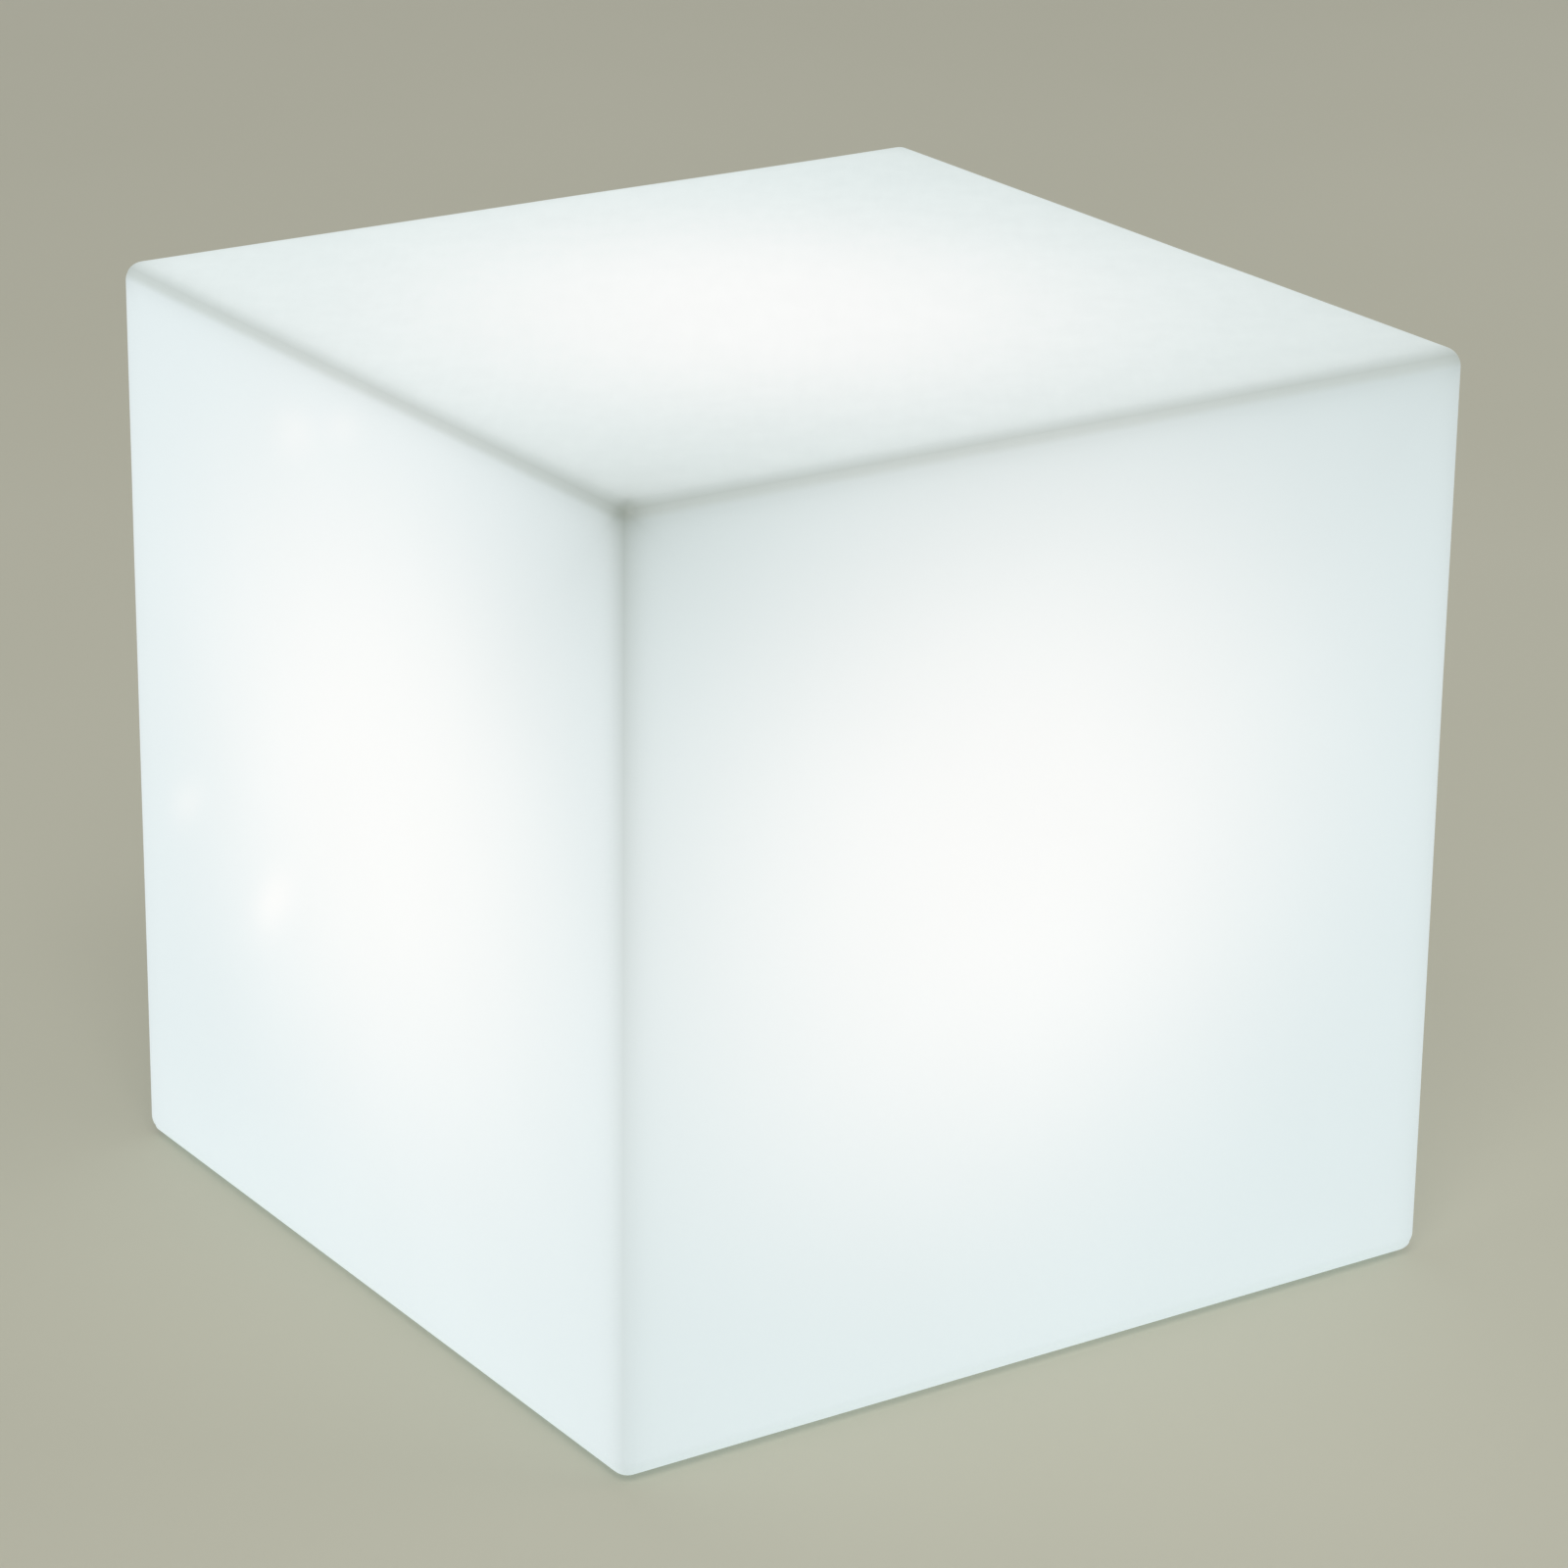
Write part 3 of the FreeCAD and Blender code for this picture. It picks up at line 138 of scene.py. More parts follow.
# ------------------------ node helpers
class NodeWork:
    """A node tree being built: adds nodes, gives them values and joins them."""

    def __init__(self, tree):
        self.tree = tree

    def add(self, kind, settings=None, **values):
        """New node with its settings. Values go to its inputs, with underscores for spaces."""
        node = self.tree.nodes.new(kind)
        for name, value in (settings or {}).items():
            setattr(node, name, value)
        self.give(node, values)
        return node

    def give(self, node, values):
        """Constants or links for a node's inputs, by name."""
        for name, value in values.items():
            self.feed(node.inputs[name.replace("_", " ")], value)

    def add_in_order(self, kind, values, settings=None):
        """New node whose inputs take these values one after the other."""
        node = self.add(kind, settings)
        for socket, value in zip(node.inputs, values):
            self.feed(socket, value)
        return node

    def feed(self, socket, value):
        """Joins a socket to another one, or sets it to a constant."""
        if isinstance(value, bpy.types.NodeSocket):
            self.tree.links.new(value, socket)
        else:
            socket.default_value = value

    def reckon(self, operation, *values):
        """One sum on numbers."""
        return self.add_in_order("ShaderNodeMath", values, {"operation": operation}).outputs[0]

    def vectors(self, operation, *values):
        """One sum on vectors."""
        node = self.add_in_order("ShaderNodeVectorMath", values, {"operation": operation})
        return node.outputs["Value" if operation in ("DOT_PRODUCT", "DISTANCE") else "Vector"]

    def split(self, vector):
        """The three parts of a vector."""
        return tuple(self.add("ShaderNodeSeparateXYZ", Vector=vector).outputs)

    def either(self, share, first, second):
        """Two shaders mixed by a share."""
        return self.add_in_order("ShaderNodeMixShader", (share, first, second)).outputs[0]


class Finish(NodeWork):
    """A material being made on Object coordinates, with sizes given in metres."""

    def __init__(self, name):
        self.material = bpy.data.materials.new(name)
        self.material.use_nodes = True
        super().__init__(self.material.node_tree)
        self.surface = self.tree.nodes["Principled BSDF"]
        self.coordinates = self.add("ShaderNodeTexCoord")
        self.place = self.coordinates.outputs["Object"]

    def set(self, **values):
        """Constants or links on the shader's own sockets."""
        self.give(self.surface, values)
        return self.material

    def placed(self, centre=(0, 0, 0), turn=(0, 0, 0), stretch=(1, 1, 1)):
        """Object coordinates measured from a centre, turned and stretched."""
        node = self.add(
            "ShaderNodeMapping", {"vector_type": "TEXTURE"}, Vector=self.place, Location=centre,
            Rotation=turn, Scale=stretch,
        )
        return node.outputs[0]

    def noise(self, size, detail=2.0, at=None):
        """Soft noise with lumps of about this size."""
        node = self.add("ShaderNodeTexNoise", Vector=at or self.place, Scale=1 / size, Detail=detail)
        return node.outputs["Fac"]

    def cells(self, size, feature="F1"):
        """Distances in a pattern of cells of about this size."""
        node = self.add("ShaderNodeTexVoronoi", {"feature": feature}, Vector=self.place, Scale=1 / size)
        return node.outputs["Distance"]

    def spread(self, value, low, high, new_low=0.0, new_high=1.0, soft=False):
        """Value carried from one range to another, and held at its ends."""
        way = "SMOOTHSTEP" if soft else "LINEAR"
        node = self.add(
            "ShaderNodeMapRange", {"interpolation_type": way}, Value=value, From_Min=low, From_Max=high,
            To_Min=new_low, To_Max=new_high,
        )
        return node.outputs["Result"]

    def between(self, noise, low, high, half_range=0.2):
        """Noise stretched so that the middle of its range runs from one value to another."""
        return self.spread(noise, 0.5 - half_range, 0.5 + half_range, low, high)

    def squares(self, x, y):
        """Sum of two numbers' squares."""
        return self.reckon("MULTIPLY_ADD", x, x, self.reckon("MULTIPLY", y, y))

    def off_axis(self, x, y):
        """Distance from the upright line where x and y are nought."""
        return self.reckon("SQRT", self.squares(x, y))

    def mixed(self, share, first, second, way="MIX"):
        """Two colours mixed by a share, or multiplied."""
        node = self.add("ShaderNodeMix", {"data_type": "RGBA", "blend_type": way}, Factor=share)
        self.feed(node.inputs[6], first)
        self.feed(node.inputs[7], second)
        return node.outputs[2]

    def relief(self, height, depth, under=None):
        """Small relief of a given depth, in metres, as a normal."""
        node = self.add("ShaderNodeBump", Height=height, Distance=depth)
        if under is not None:
            self.feed(node.inputs["Normal"], under)
        return node.outputs["Normal"]


class Grower(NodeWork):
    """A geometry node tree being built, with named inputs."""

    def __init__(self, name, **inputs):
        super().__init__(bpy.data.node_groups.new(name, "GeometryNodeTree"))
        self.tree.interface.new_socket("Geometry", in_out="OUTPUT", socket_type="NodeSocketGeometry")
        for label, kind in inputs.items():
            label = label.replace("_", " ")
            self.tree.interface.new_socket(label, in_out="INPUT", socket_type="NodeSocket" + kind)
        self.given = self.tree.nodes.new("NodeGroupInput").outputs

    def end(self, geometry):
        """Realizes what was grown, gives it its material and closes the tree."""
        real = self.add("GeometryNodeRealizeInstances", Geometry=geometry)
        done = self.add("GeometryNodeSetMaterial", Geometry=real.outputs[0], Material=self.given["Finish"])
        self.tree.links.new(done.outputs[0], self.tree.nodes.new("NodeGroupOutput").inputs[0])
        return self.tree


def shade(red, green, blue):
    """A colour as the shader's sockets take it."""
    return (red, green, blue, 1.0)


def darkened(colour, share):
    """A colour brought down to a share of its brightness."""
    return shade(*(channel * share for channel in colour))


# ------------------------ the milky wall, lit from inside
wall_colour = shade(0.50, 0.52, 0.52)
glow_reach = 0.38 * 2 * half_side
glow_flatness = 1.35

# Where each face glows brightest, in the two coordinates that run along it.
side_glow_middle = (-0.015, 0.247)
front_glow_middle = (-0.027, 0.253)
top_glow_middle = (-0.011, -0.003)

# Glow at a face's rim and at its brightest place: partly the lamp's own glow, partly painted light, each
# face's level set against how the lamps light that face.
side_glow = (shade(0.486, 0.557, 0.592), shade(0.668, 0.665, 0.675))
front_glow = (shade(0.408, 0.484, 0.515), shade(0.632, 0.625, 0.635))
top_glow = (shade(0.328, 0.384, 0.379), shade(0.490, 0.480, 0.472))

# Share of the light held back along the edge between two faces, partly the glow that the thick edge holds
# back and partly painted shade: close to the edge by the near top corner, close to it elsewhere, and further
# in.
edge_shades = {
    ("front", "top"): (0.47, 0.47, 0.090),
    ("back", "top"): (0.30, 0.30, 0.010),
    ("left", "top"): (0.45, 0.38, 0.010),
    ("right", "top"): (0.18, 0.18, 0.060),
    ("left", "front"): (0.58, 0.15, 0.030),
    ("left", "back"): (0.15, 0.15, 0.0),
    ("right", "front"): (0.20, 0.20, 0.010),
    ("right", "back"): (0.20, 0.20, 0.010),
}
close_width = 5 * MM
# How far from the near top corner the painted shade on the edges grows stronger.
painted_corner_reach = 200 * MM
far_width = 76 * MM
# Painted shade round the near top corner: how much, and how far it reaches.
painted_corner_shade = 0.154
painted_corner_width = 53 * MM

# Colour that the wall tends to where its glow is held back and where shade is painted, and how strongly.
shade_colour = shade(0.047, 0.065, 0.0)
shade_strength = 1.07

# Light that the floor throws back at what faces down, and how far down it has to face.
floor_gain = 1.15
floor_gain_full = -0.8
floor_gain_none = -0.1

# Faint clouds in the wall, and painted reflection streaks on the top.
cloud_size = 110 * MM
cloud_depth = 0.01
streak_width = 5 * MM
streak_stretch = (5, 1, 1)
streak_depth = 0.012
streak_turn = math.radians(55)

wall_patch_size = 14 * MM
wall_grain = 1.6 * MM
wall_grain_depth = 0.02 * MM

# Painted bright oval patches on the left wall: middle, turn in degrees, half length, half height and
# the glow that each adds.
painted_bright_patches = (
    ((0.082, 0.163), -43, 24 * MM, 11 * MM, 0.40),
    ((0.163, 0.185), -35, 18 * MM, 9 * MM, 0.28),
    ((0.052, 0.391), -20, 20 * MM, 11 * MM, 0.25),
    ((0.009, 0.404), -20, 16 * MM, 8 * MM, 0.20),
)


def glow_on_face(finish, across, up, centre):
    """Round glow on one face: flat near its centre, then fading."""
    first = finish.reckon("SUBTRACT", across, centre[0])
    second = finish.reckon("SUBTRACT", up, centre[1])
    share = finish.reckon("DIVIDE", finish.squares(first, second), glow_reach**2)
    far = finish.reckon("POWER", share, glow_flatness)
    return finish.reckon("EXPONENT", finish.reckon("MULTIPLY", far, -1.0))


def fading(finish, distance, width, amount):
    """An amount that falls off with distance, to about a third in one width."""
    share = finish.reckon("EXPONENT", finish.reckon("DIVIDE", distance, -width))
    return finish.reckon("MULTIPLY", share, amount)


def edge_light_and_painted_shade(finish, x, y, z):
    """Share of the light let through by the edges and the near top corner: partly the glow that the thick
    edges hold back, partly painted shade.
    """
    gaps = {
        "left": finish.reckon("ADD", x, half_side),
        "right": finish.reckon("SUBTRACT", half_side, x),
        "front": finish.reckon("ADD", y, half_side),
        "back": finish.reckon("SUBTRACT", half_side, y),
        "top": finish.reckon("SUBTRACT", cube_top, z),
    }
    corner = finish.vectors("DISTANCE", finish.place, (-half_side, -half_side, cube_top))
    painted_corner_share = fading(finish, corner, painted_corner_reach, 1.0)
    light = finish.reckon("SUBTRACT", 1.0, fading(finish, corner, painted_corner_width, painted_corner_shade))
    for (first, second), (by_painted_corner, elsewhere, further_in) in edge_shades.items():
        gap = finish.reckon("MAXIMUM", gaps[first], gaps[second])
        close = finish.reckon("MULTIPLY_ADD", painted_corner_share, by_painted_corner - elsewhere, elsewhere)
        for width, amount in ((close_width, close), (far_width, further_in)):
            through = finish.reckon("SUBTRACT", 1.0, fading(finish, gap, width, amount))
            light = finish.reckon("MULTIPLY", light, through)
    return light


def painted_patch_glow(finish):
    """Extra glow painted in bright oval patches on the left wall."""
    extra = 0.0
    reach_inwards = 20 * MM
    for (y, z), turn, half_length, half_height, amount in painted_bright_patches:
        stretch = (reach_inwards, half_length, half_height)
        at = finish.placed((-half_side, y, z), (math.radians(turn), 0, 0), stretch)
        squares = finish.vectors("DOT_PRODUCT", at, at)
        extra = finish.reckon("ADD", fading(finish, squares, 1.0, amount), extra)
    return extra


def milky_wall():
    """Milky plastic lit from inside: brightest in the middle of each face and greyer by its thick edges, with
    painted light and shade in its glow: face levels set against the lamps, shade at the edges and the near
    top corner that also darkens the base colour, bright patches, reflection streaks and floor light.
    """
    finish = Finish("milky_rotomoulded_wall")
    x, y, z = finish.split(finish.place)
    facing = finish.coordinates.outputs["Normal"]
    face_x, face_y, face_z = finish.split(finish.vectors("MULTIPLY", facing, facing))

    glow = painted_patch_glow(finish)
    for face, across, up, middle in (
        (face_x, y, z, side_glow_middle), (face_y, x, z, front_glow_middle), (face_z, x, y, top_glow_middle),
    ):
        glow = finish.reckon("MULTIPLY_ADD", glow_on_face(finish, across, up, middle), face, glow)
    _, _, upwards = finish.split(facing)
    on_top = finish.spread(upwards, 0.0, 0.5, soft=True)
    upright = finish.mixed(face_x, finish.mixed(glow, *front_glow), finish.mixed(glow, *side_glow))
    lit = finish.mixed(on_top, upright, finish.mixed(glow, *top_glow))

    clouds_and_painted_light = finish.between(finish.noise(cloud_size), 1 - cloud_depth, 1 + cloud_depth)
    # Painted reflection streaks that vary the glow of the top.
    reflection_streak_place = finish.placed(turn=(0, 0, streak_turn), stretch=streak_stretch)
    streaks = finish.noise(streak_width, detail=3.0, at=reflection_streak_place)
    streaks = finish.between(streaks, -streak_depth, streak_depth, half_range=0.15)
    clouds_and_painted_light = finish.reckon("MULTIPLY_ADD", streaks, on_top, clouds_and_painted_light)
    # Painted light from the floor: extra glow on what faces down.
    from_floor = finish.spread(upwards, floor_gain_full, floor_gain_none, floor_gain, 1.0)
    clouds_and_painted_light = finish.reckon("MULTIPLY", clouds_and_painted_light, from_floor)

    # Painted shade along the edges and round the near top corner darkens the base colour as well as the glow.
    held = finish.reckon("SUBTRACT", 1.0, edge_light_and_painted_shade(finish, x, y, z))
    edge_shade_tint = finish.mixed(finish.reckon("MULTIPLY", held, shade_strength), shade(1.0, 1.0, 1.0), shade_colour)
    return finish.set(
        Base_Color=finish.mixed(1.0, wall_colour, edge_shade_tint, "MULTIPLY"),
        Roughness=finish.between(finish.noise(wall_patch_size, detail=3.0), 0.40, 0.50),
        Emission_Color=finish.mixed(1.0, finish.mixed(1.0, lit, edge_shade_tint, "MULTIPLY"), clouds_and_painted_light, "MULTIPLY"),
        Emission_Strength=1.0,
        Normal=finish.relief(finish.noise(wall_grain), wall_grain_depth),
    )


# ------------------------ plastics, rubbers and films
def spark_plastic(name, colour, grain, depth, rough):
    """Moulded plastic with the fine pitted grain that a spark-eroded mould leaves."""
    mottle_size = 40 * MM
    mottle_dark = 0.965
    rough_swing = 0.07
    finish = Finish(name)
    pits = finish.cells(grain)
    mottle = finish.between(finish.noise(mottle_size), 0.0, 1.0, half_range=0.15)
    return finish.set(
        Base_Color=finish.mixed(mottle, darkened(colour, mottle_dark), shade(*colour)),
        Roughness=finish.spread(pits, 0.1, 0.7, rough - rough_swing, rough + rough_swing),
        Normal=finish.relief(finish.noise(grain * 2), depth, finish.relief(pits, depth)),
    )


def soft_rubber(name, colour, rough, dusty=0.0, clear=0.0):
    """Rubber with a faint bloom of dust and a skin that is not quite even."""
    bloom_size = 6 * MM
    bloom_colour = shade(0.45, 0.43, 0.40)
    patch_size = 2 * MM
    rough_swing = 0.08
    grain = 0.5 * MM
    grain_depth = 0.02 * MM
    finish = Finish(name)
    bloom = finish.spread(finish.noise(bloom_size, detail=4.0), 0.45, 0.75, 0.0, dusty)
    patches = finish.noise(patch_size, detail=3.0)
    return finish.set(
        Base_Color=finish.mixed(bloom, shade(*colour), bloom_colour),
        Roughness=finish.between(patches, rough - rough_swing, rough + rough_swing),
        Transmission_Weight=clear,
        Normal=finish.relief(finish.noise(grain), grain_depth),
    )


def glossy_film(name, colour, wrinkle):
    """Shrink film, pulled smooth round what it covers, with small creases."""
    patch_size = 9 * MM
    patch_dark = 0.8
    crease_width = 5 * MM
    finish = Finish(name)
    creases = finish.noise(crease_width, detail=4.0, at=finish.placed(stretch=(6, 1, 1)))
    return finish.set(
        Base_Color=finish.mixed(finish.noise(patch_size), darkened(colour, patch_dark), shade(*colour)),
        Roughness=finish.between(creases, 0.18, 0.32),
        Coat_Weight=0.4,
        Normal=finish.relief(creases, wrinkle),
    )


def clear_plastic(name, colour, rough, frost):
    """See-through plastic, clear or with a frosted skin."""
    patch_size = 25 * MM
    patch_dark = 0.96
    skin_grain = 0.8 * MM
    finish = Finish(name)
    skin = finish.noise(skin_grain, detail=3.0)
    return finish.set(
        Base_Color=finish.mixed(finish.noise(patch_size), shade(*colour), darkened(colour, patch_dark)),
        Roughness=finish.between(skin, rough, rough + 0.1),
        Transmission_Weight=0.85,
        IOR=1.49,
        Normal=finish.relief(skin, frost),
    )


def insulated_lead(name, colour):
    """Lead insulation with the faint lines that drawing leaves."""
    line_width = 1.2 * MM
    line_dark = 0.85
    line_depth = 0.02 * MM
    finish = Finish(name)
    drawn = finish.noise(line_width, detail=3.0)
    return finish.set(
        Base_Color=finish.mixed(drawn, shade(*colour), darkened(colour, line_dark)),
        Roughness=finish.between(drawn, 0.35, 0.5),
        Normal=finish.relief(drawn, line_depth),
    )


# ------------------------ metals
def turned_metal(name, colour, centre, pitch=0.25 * MM, rough=0.24):
    """Metal faced on a lathe: fine rings round an upright line."""
    stain_size = 3 * MM
    stain_dark = 0.88
    mark_depth = 0.004 * MM
    finish = Finish(name)
    x, y, _ = finish.split(finish.placed(centre))
    marks = finish.reckon("SINE", finish.reckon("MULTIPLY", finish.off_axis(x, y), FULL_TURN / pitch))
    stain = finish.noise(stain_size, detail=4.0)
    return finish.set(
        Base_Color=finish.mixed(stain, shade(*colour), darkened(colour, stain_dark)),
        Metallic=1.0,
        Roughness=finish.between(stain, rough - 0.05, rough + 0.06),
        Normal=finish.relief(marks, mark_depth),
    )


def rolled_metal(name, colour, stretch, rough=0.28, depth=0.004 * MM):
    """Sheet or drawn metal with its marks all running one way."""
    stain_size = 12 * MM
    stain_dark = 0.9
    streak_size = 0.5 * MM
    finish = Finish(name)
    streaks = finish.noise(streak_size, detail=3.0, at=finish.placed(stretch=stretch))
    stain = finish.noise(stain_size, detail=3.0)
    return finish.set(
        Base_Color=finish.mixed(stain, shade(*colour), darkened(colour, stain_dark)),
        Metallic=1.0,
        Roughness=finish.between(streaks, rough - 0.06, rough + 0.08),
        Normal=finish.relief(streaks, depth),
    )


# ------------------------ boards and what is on them
weave_depth = 0.01 * MM


def board_mask(name, mask, copper, track):
    """Circuit board: copper tracks that show as paler lines under the solder mask."""
    block_size = 9 * track
    track_depth = 0.03 * MM
    weave_size = 0.6 * MM
    finish = Finish(name)
    edges = finish.cells(block_size, "DISTANCE_TO_EDGE")
    tracks = finish.spread(edges, 0.05, 0.08, 1.0, 0.0)
    weave = finish.noise(weave_size)
    return finish.set(
        Base_Color=finish.mixed(tracks, shade(*mask), shade(*copper)),
        Roughness=finish.between(weave, 0.22, 0.36),
        Normal=finish.relief(tracks, track_depth, finish.relief(weave, weave_depth)),
    )


def lamp_board_mask():
    """White lamp board: ring tracks under the mask, one each side of every ring of chips."""
    track_offset = 5 * MM
    track_half_width = 1.1 * MM
    track_blur = 0.2 * MM
    track_depth = 0.04 * MM
    weave_size = 0.8 * MM
    finish = Finish("white_board_mask")
    x, y, _ = finish.split(finish.place)
    radius = finish.off_axis(x, y)
    tracks = 0.0
    for _, chip_ring in chip_rings:
        for track_ring in (chip_ring - track_offset, chip_ring + track_offset):
            off = finish.reckon("ABSOLUTE", finish.reckon("SUBTRACT", radius, track_ring))
            one = finish.spread(off, track_half_width, track_half_width + track_blur, 1.0, 0.0)
            tracks = finish.reckon("ADD", one, tracks)
    weave = finish.noise(weave_size)
    return finish.set(
        Base_Color=finish.mixed(tracks, shade(0.74, 0.75, 0.73), shade(0.81, 0.82, 0.80)),
        Roughness=finish.between(weave, 0.24, 0.38),
        Normal=finish.relief(tracks, track_depth, finish.relief(weave, weave_depth)),
    )


def wound_ferrite():
    """Dark choke whose waist shows its turns of enamelled wire."""
    wire_pitch = 0.55 * MM
    wire_depth = 0.12 * MM
    patch_size = 1 * MM
    finish = Finish("wound_ferrite")
    _, _, height = finish.split(finish.place)
    turns = finish.reckon("SINE", finish.reckon("MULTIPLY", height, FULL_TURN / wire_pitch))
    share = finish.spread(turns, -1.0, 1.0)
    return finish.set(
        Base_Color=finish.mixed(share, shade(0.05, 0.045, 0.045), shade(0.22, 0.10, 0.05)),
        Roughness=finish.between(finish.noise(patch_size), 0.3, 0.5),
        Normal=finish.relief(share, wire_depth),
    )


def light_chip_case():
    """White chip case with a yellow phosphor window that glows."""
    phosphor_start = 0.20 * MM
    phosphor_full = 0.26 * MM
    speckle_size = 0.25 * MM
    finish = Finish("light_chip_case")
    chip_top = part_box("led_chips")[1].z
    _, _, height = finish.split(finish.place)
    _, _, upwards = finish.split(finish.coordinates.outputs["Normal"])
    facing_up = finish.spread(upwards, 0.8, 0.9)
    sunk = finish.spread(height, chip_top - phosphor_full, chip_top - phosphor_start, 1.0, 0.0)
    in_window = finish.reckon("MULTIPLY", facing_up, sunk)
    speckle = finish.noise(speckle_size)
    phosphor = finish.mixed(speckle, shade(0.85, 0.70, 0.22), shade(0.95, 0.86, 0.38))
    return finish.set(
        Base_Color=finish.mixed(in_window, shade(0.86, 0.86, 0.84), phosphor),
        Roughness=finish.between(speckle, 0.35, 0.5),
        Emission_Color=finish.mixed(in_window, shade(0.12, 0.12, 0.10), shade(0.95, 0.90, 0.62)),
        Emission_Strength=1.0,
    )


# ------------------------ all the finishes
def make_finishes():
    """One material for each of the record's material slots."""
    steel = (0.60, 0.60, 0.59)
    brass = (0.72, 0.52, 0.22)
    nickel = (0.72, 0.71, 0.68)
    tin = (0.72, 0.73, 0.74)
    aluminium = (0.78, 0.79, 0.80)
    housing_grey = (0.60, 0.61, 0.60)
    control_black = (0.045, 0.046, 0.050)
    green = {"mask": (0.015, 0.11, 0.045), "copper": (0.05, 0.20, 0.08)}
    middle = (0, 0, 0)
    return {
        "shell_polyethylene": milky_wall(),
        "foot_rubber": soft_rubber("matt_black_rubber", (0.030, 0.030, 0.032), rough=0.72, dusty=0.30),
        "housing_plastic": spark_plastic(
            "spark_textured_grey_housing", housing_grey, grain=0.8 * MM, depth=0.07 * MM, rough=0.50,
        ),
        "control_plastic": spark_plastic(
            "fine_dark_control_plastic", control_black, grain=0.22 * MM, depth=0.015 * MM, rough=0.44,
        ),
        "silicone": soft_rubber(
            "smoky_silicone", (0.55, 0.56, 0.56), rough=0.42, dusty=0.12, clear=0.25,
        ),
        "stainless_steel": turned_metal("turned_stainless", steel, switch_middle),
        "plated_steel": rolled_metal(
            "bright_nickel_plate", nickel, stretch=(1, 1, 6), rough=0.20, depth=0.002 * MM,
        ),
        "brass": turned_metal("knurled_brass", brass, middle, pitch=0.6 * MM, rough=0.30),
        "aluminium_plate": rolled_metal(
            "brushed_aluminium_sheet", aluminium, stretch=(60, 1, 1), rough=0.32,
        ),
        "dome_polycarbonate": clear_plastic(
            "frosted_dome_plastic", (0.90, 0.92, 0.94), rough=0.35, frost=0.02 * MM,
        ),
        "clear_plastic": clear_plastic(
            "polished_light_rod", (0.86, 0.92, 0.93), rough=0.04, frost=0.002 * MM,
        ),
        "board_green": board_mask("green_board_mask", track=0.4 * MM, **green),
        "board_white": lamp_board_mask(),
        "chip_black": spark_plastic(
            "chip_moulding", (0.022, 0.022, 0.024), grain=0.12 * MM, depth=0.01 * MM, rough=0.48,
        ),
        "ferrite": wound_ferrite(),
        "capacitor_can": turned_metal("capacitor_can_metal", tin, middle, pitch=0.4 * MM, rough=0.26),
        "socket_nylon": spark_plastic(
            "natural_nylon", (0.74, 0.70, 0.60), grain=0.2 * MM, depth=0.01 * MM, rough=0.40,
        ),
        "cell_wrap": glossy_film("cell_wrap_film", (0.05, 0.17, 0.42), wrinkle=0.01 * MM),
        "sleeve_film": glossy_film("pack_sleeve_film", (0.06, 0.22, 0.50), wrinkle=0.04 * MM),
        "pad_grey": soft_rubber("heat_pad", (0.36, 0.38, 0.41), rough=0.60),
        "led_window": light_chip_case(),
        "lead_insulation": insulated_lead("red_lead_insulation", (0.50, 0.03, 0.025)),
        "lead_insulation_white": insulated_lead("white_lead_insulation", (0.72, 0.72, 0.70)),
    }


# ------------------------ mesh and object helpers
def put_in_scene(name, data):
    """New object at the origin, linked into the scene."""
    thing = bpy.data.objects.new(name, data)
    bpy.context.scene.collection.objects.link(thing)
    return thing


def shown(mesh, name, sharp=35):
    """Puts a mesh in the scene, smooth but for the edges sharper than an angle in degrees."""
    mesh.shade_smooth()
    mesh.set_sharp_from_angle(angle=math.radians(sharp))
    return put_in_scene(name, mesh)


def finished_with(mesh, finish):
    """Gives every face of a mesh one material."""
    mesh.materials.clear()
    mesh.materials.append(finish)
    for face in mesh.polygons:
        face.material_index = 0


def evaluated_mesh(piece):
    """Plain mesh of a piece with its modifiers applied."""
    graph = bpy.context.evaluated_depsgraph_get()
    return bpy.data.meshes.new_from_object(piece.evaluated_get(graph))


def mesh_of(body, name):
    """Plain mesh of what was modelled, which is then let go."""
    mesh = bpy.data.meshes.new(name)
    body.to_mesh(mesh)
    body.free()
    return mesh


def joined(name, pieces, finish):
    """One piece out of several."""
    body = bmesh.new()
    for piece in pieces:
        body.from_mesh(piece.data)
    mesh = mesh_of(body, name)
    finished_with(mesh, finish)
    for piece in pieces:
        bpy.data.objects.remove(piece)
    return shown(mesh, name)


def stand_for(piece, body, slot, *nodes):
    """Lets a piece take the place of nodes: it rides on their body. The slot is not used."""
    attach(piece, body)
    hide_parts(*nodes)


# ------------------------ meshes made of rings
def ring(height, radius, count=96, flats=0, ridge=0.0, centre=(0, 0)):
    """Points at one height: round, with flat sides, or with a ridge at every second point."""
    points = []
    for i in range(count):
        angle = FULL_TURN * i / count
        reach = radius - ridge * (i % 2)
        if flats:
            half_flat = math.pi / flats
            reach = radius / math.cos((angle + half_flat) % (2 * half_flat) - half_flat)
        points.append((centre[0] + reach * math.cos(angle), centre[1] + reach * math.sin(angle), height))
    return points


def quarter_rings(centre_radius, centre_z, bend, start_angle, steps, sweep=90, **options):
    """Rings along a quarter arc of a turned outline, with its angles in degrees."""
    found = []
    for i in range(steps + 1):
        angle = math.radians(start_angle + sweep * i / steps)
        radius = centre_radius + bend * math.cos(angle)
        found.append(ring(centre_z + bend * math.sin(angle), radius, **options))
    return found


def walls_through(rings):
    """Faces from each ring to the next, and the points of every ring."""
    body = bmesh.new()
    rows = [[body.verts.new(point) for point in points] for points in rings]
    for low, high in zip(rows, rows[1:]):
        for i in range(len(low)):
            j = (i + 1) % len(low)
            body.faces.new((low[i], low[j], high[j], high[i]))
    return body, rows


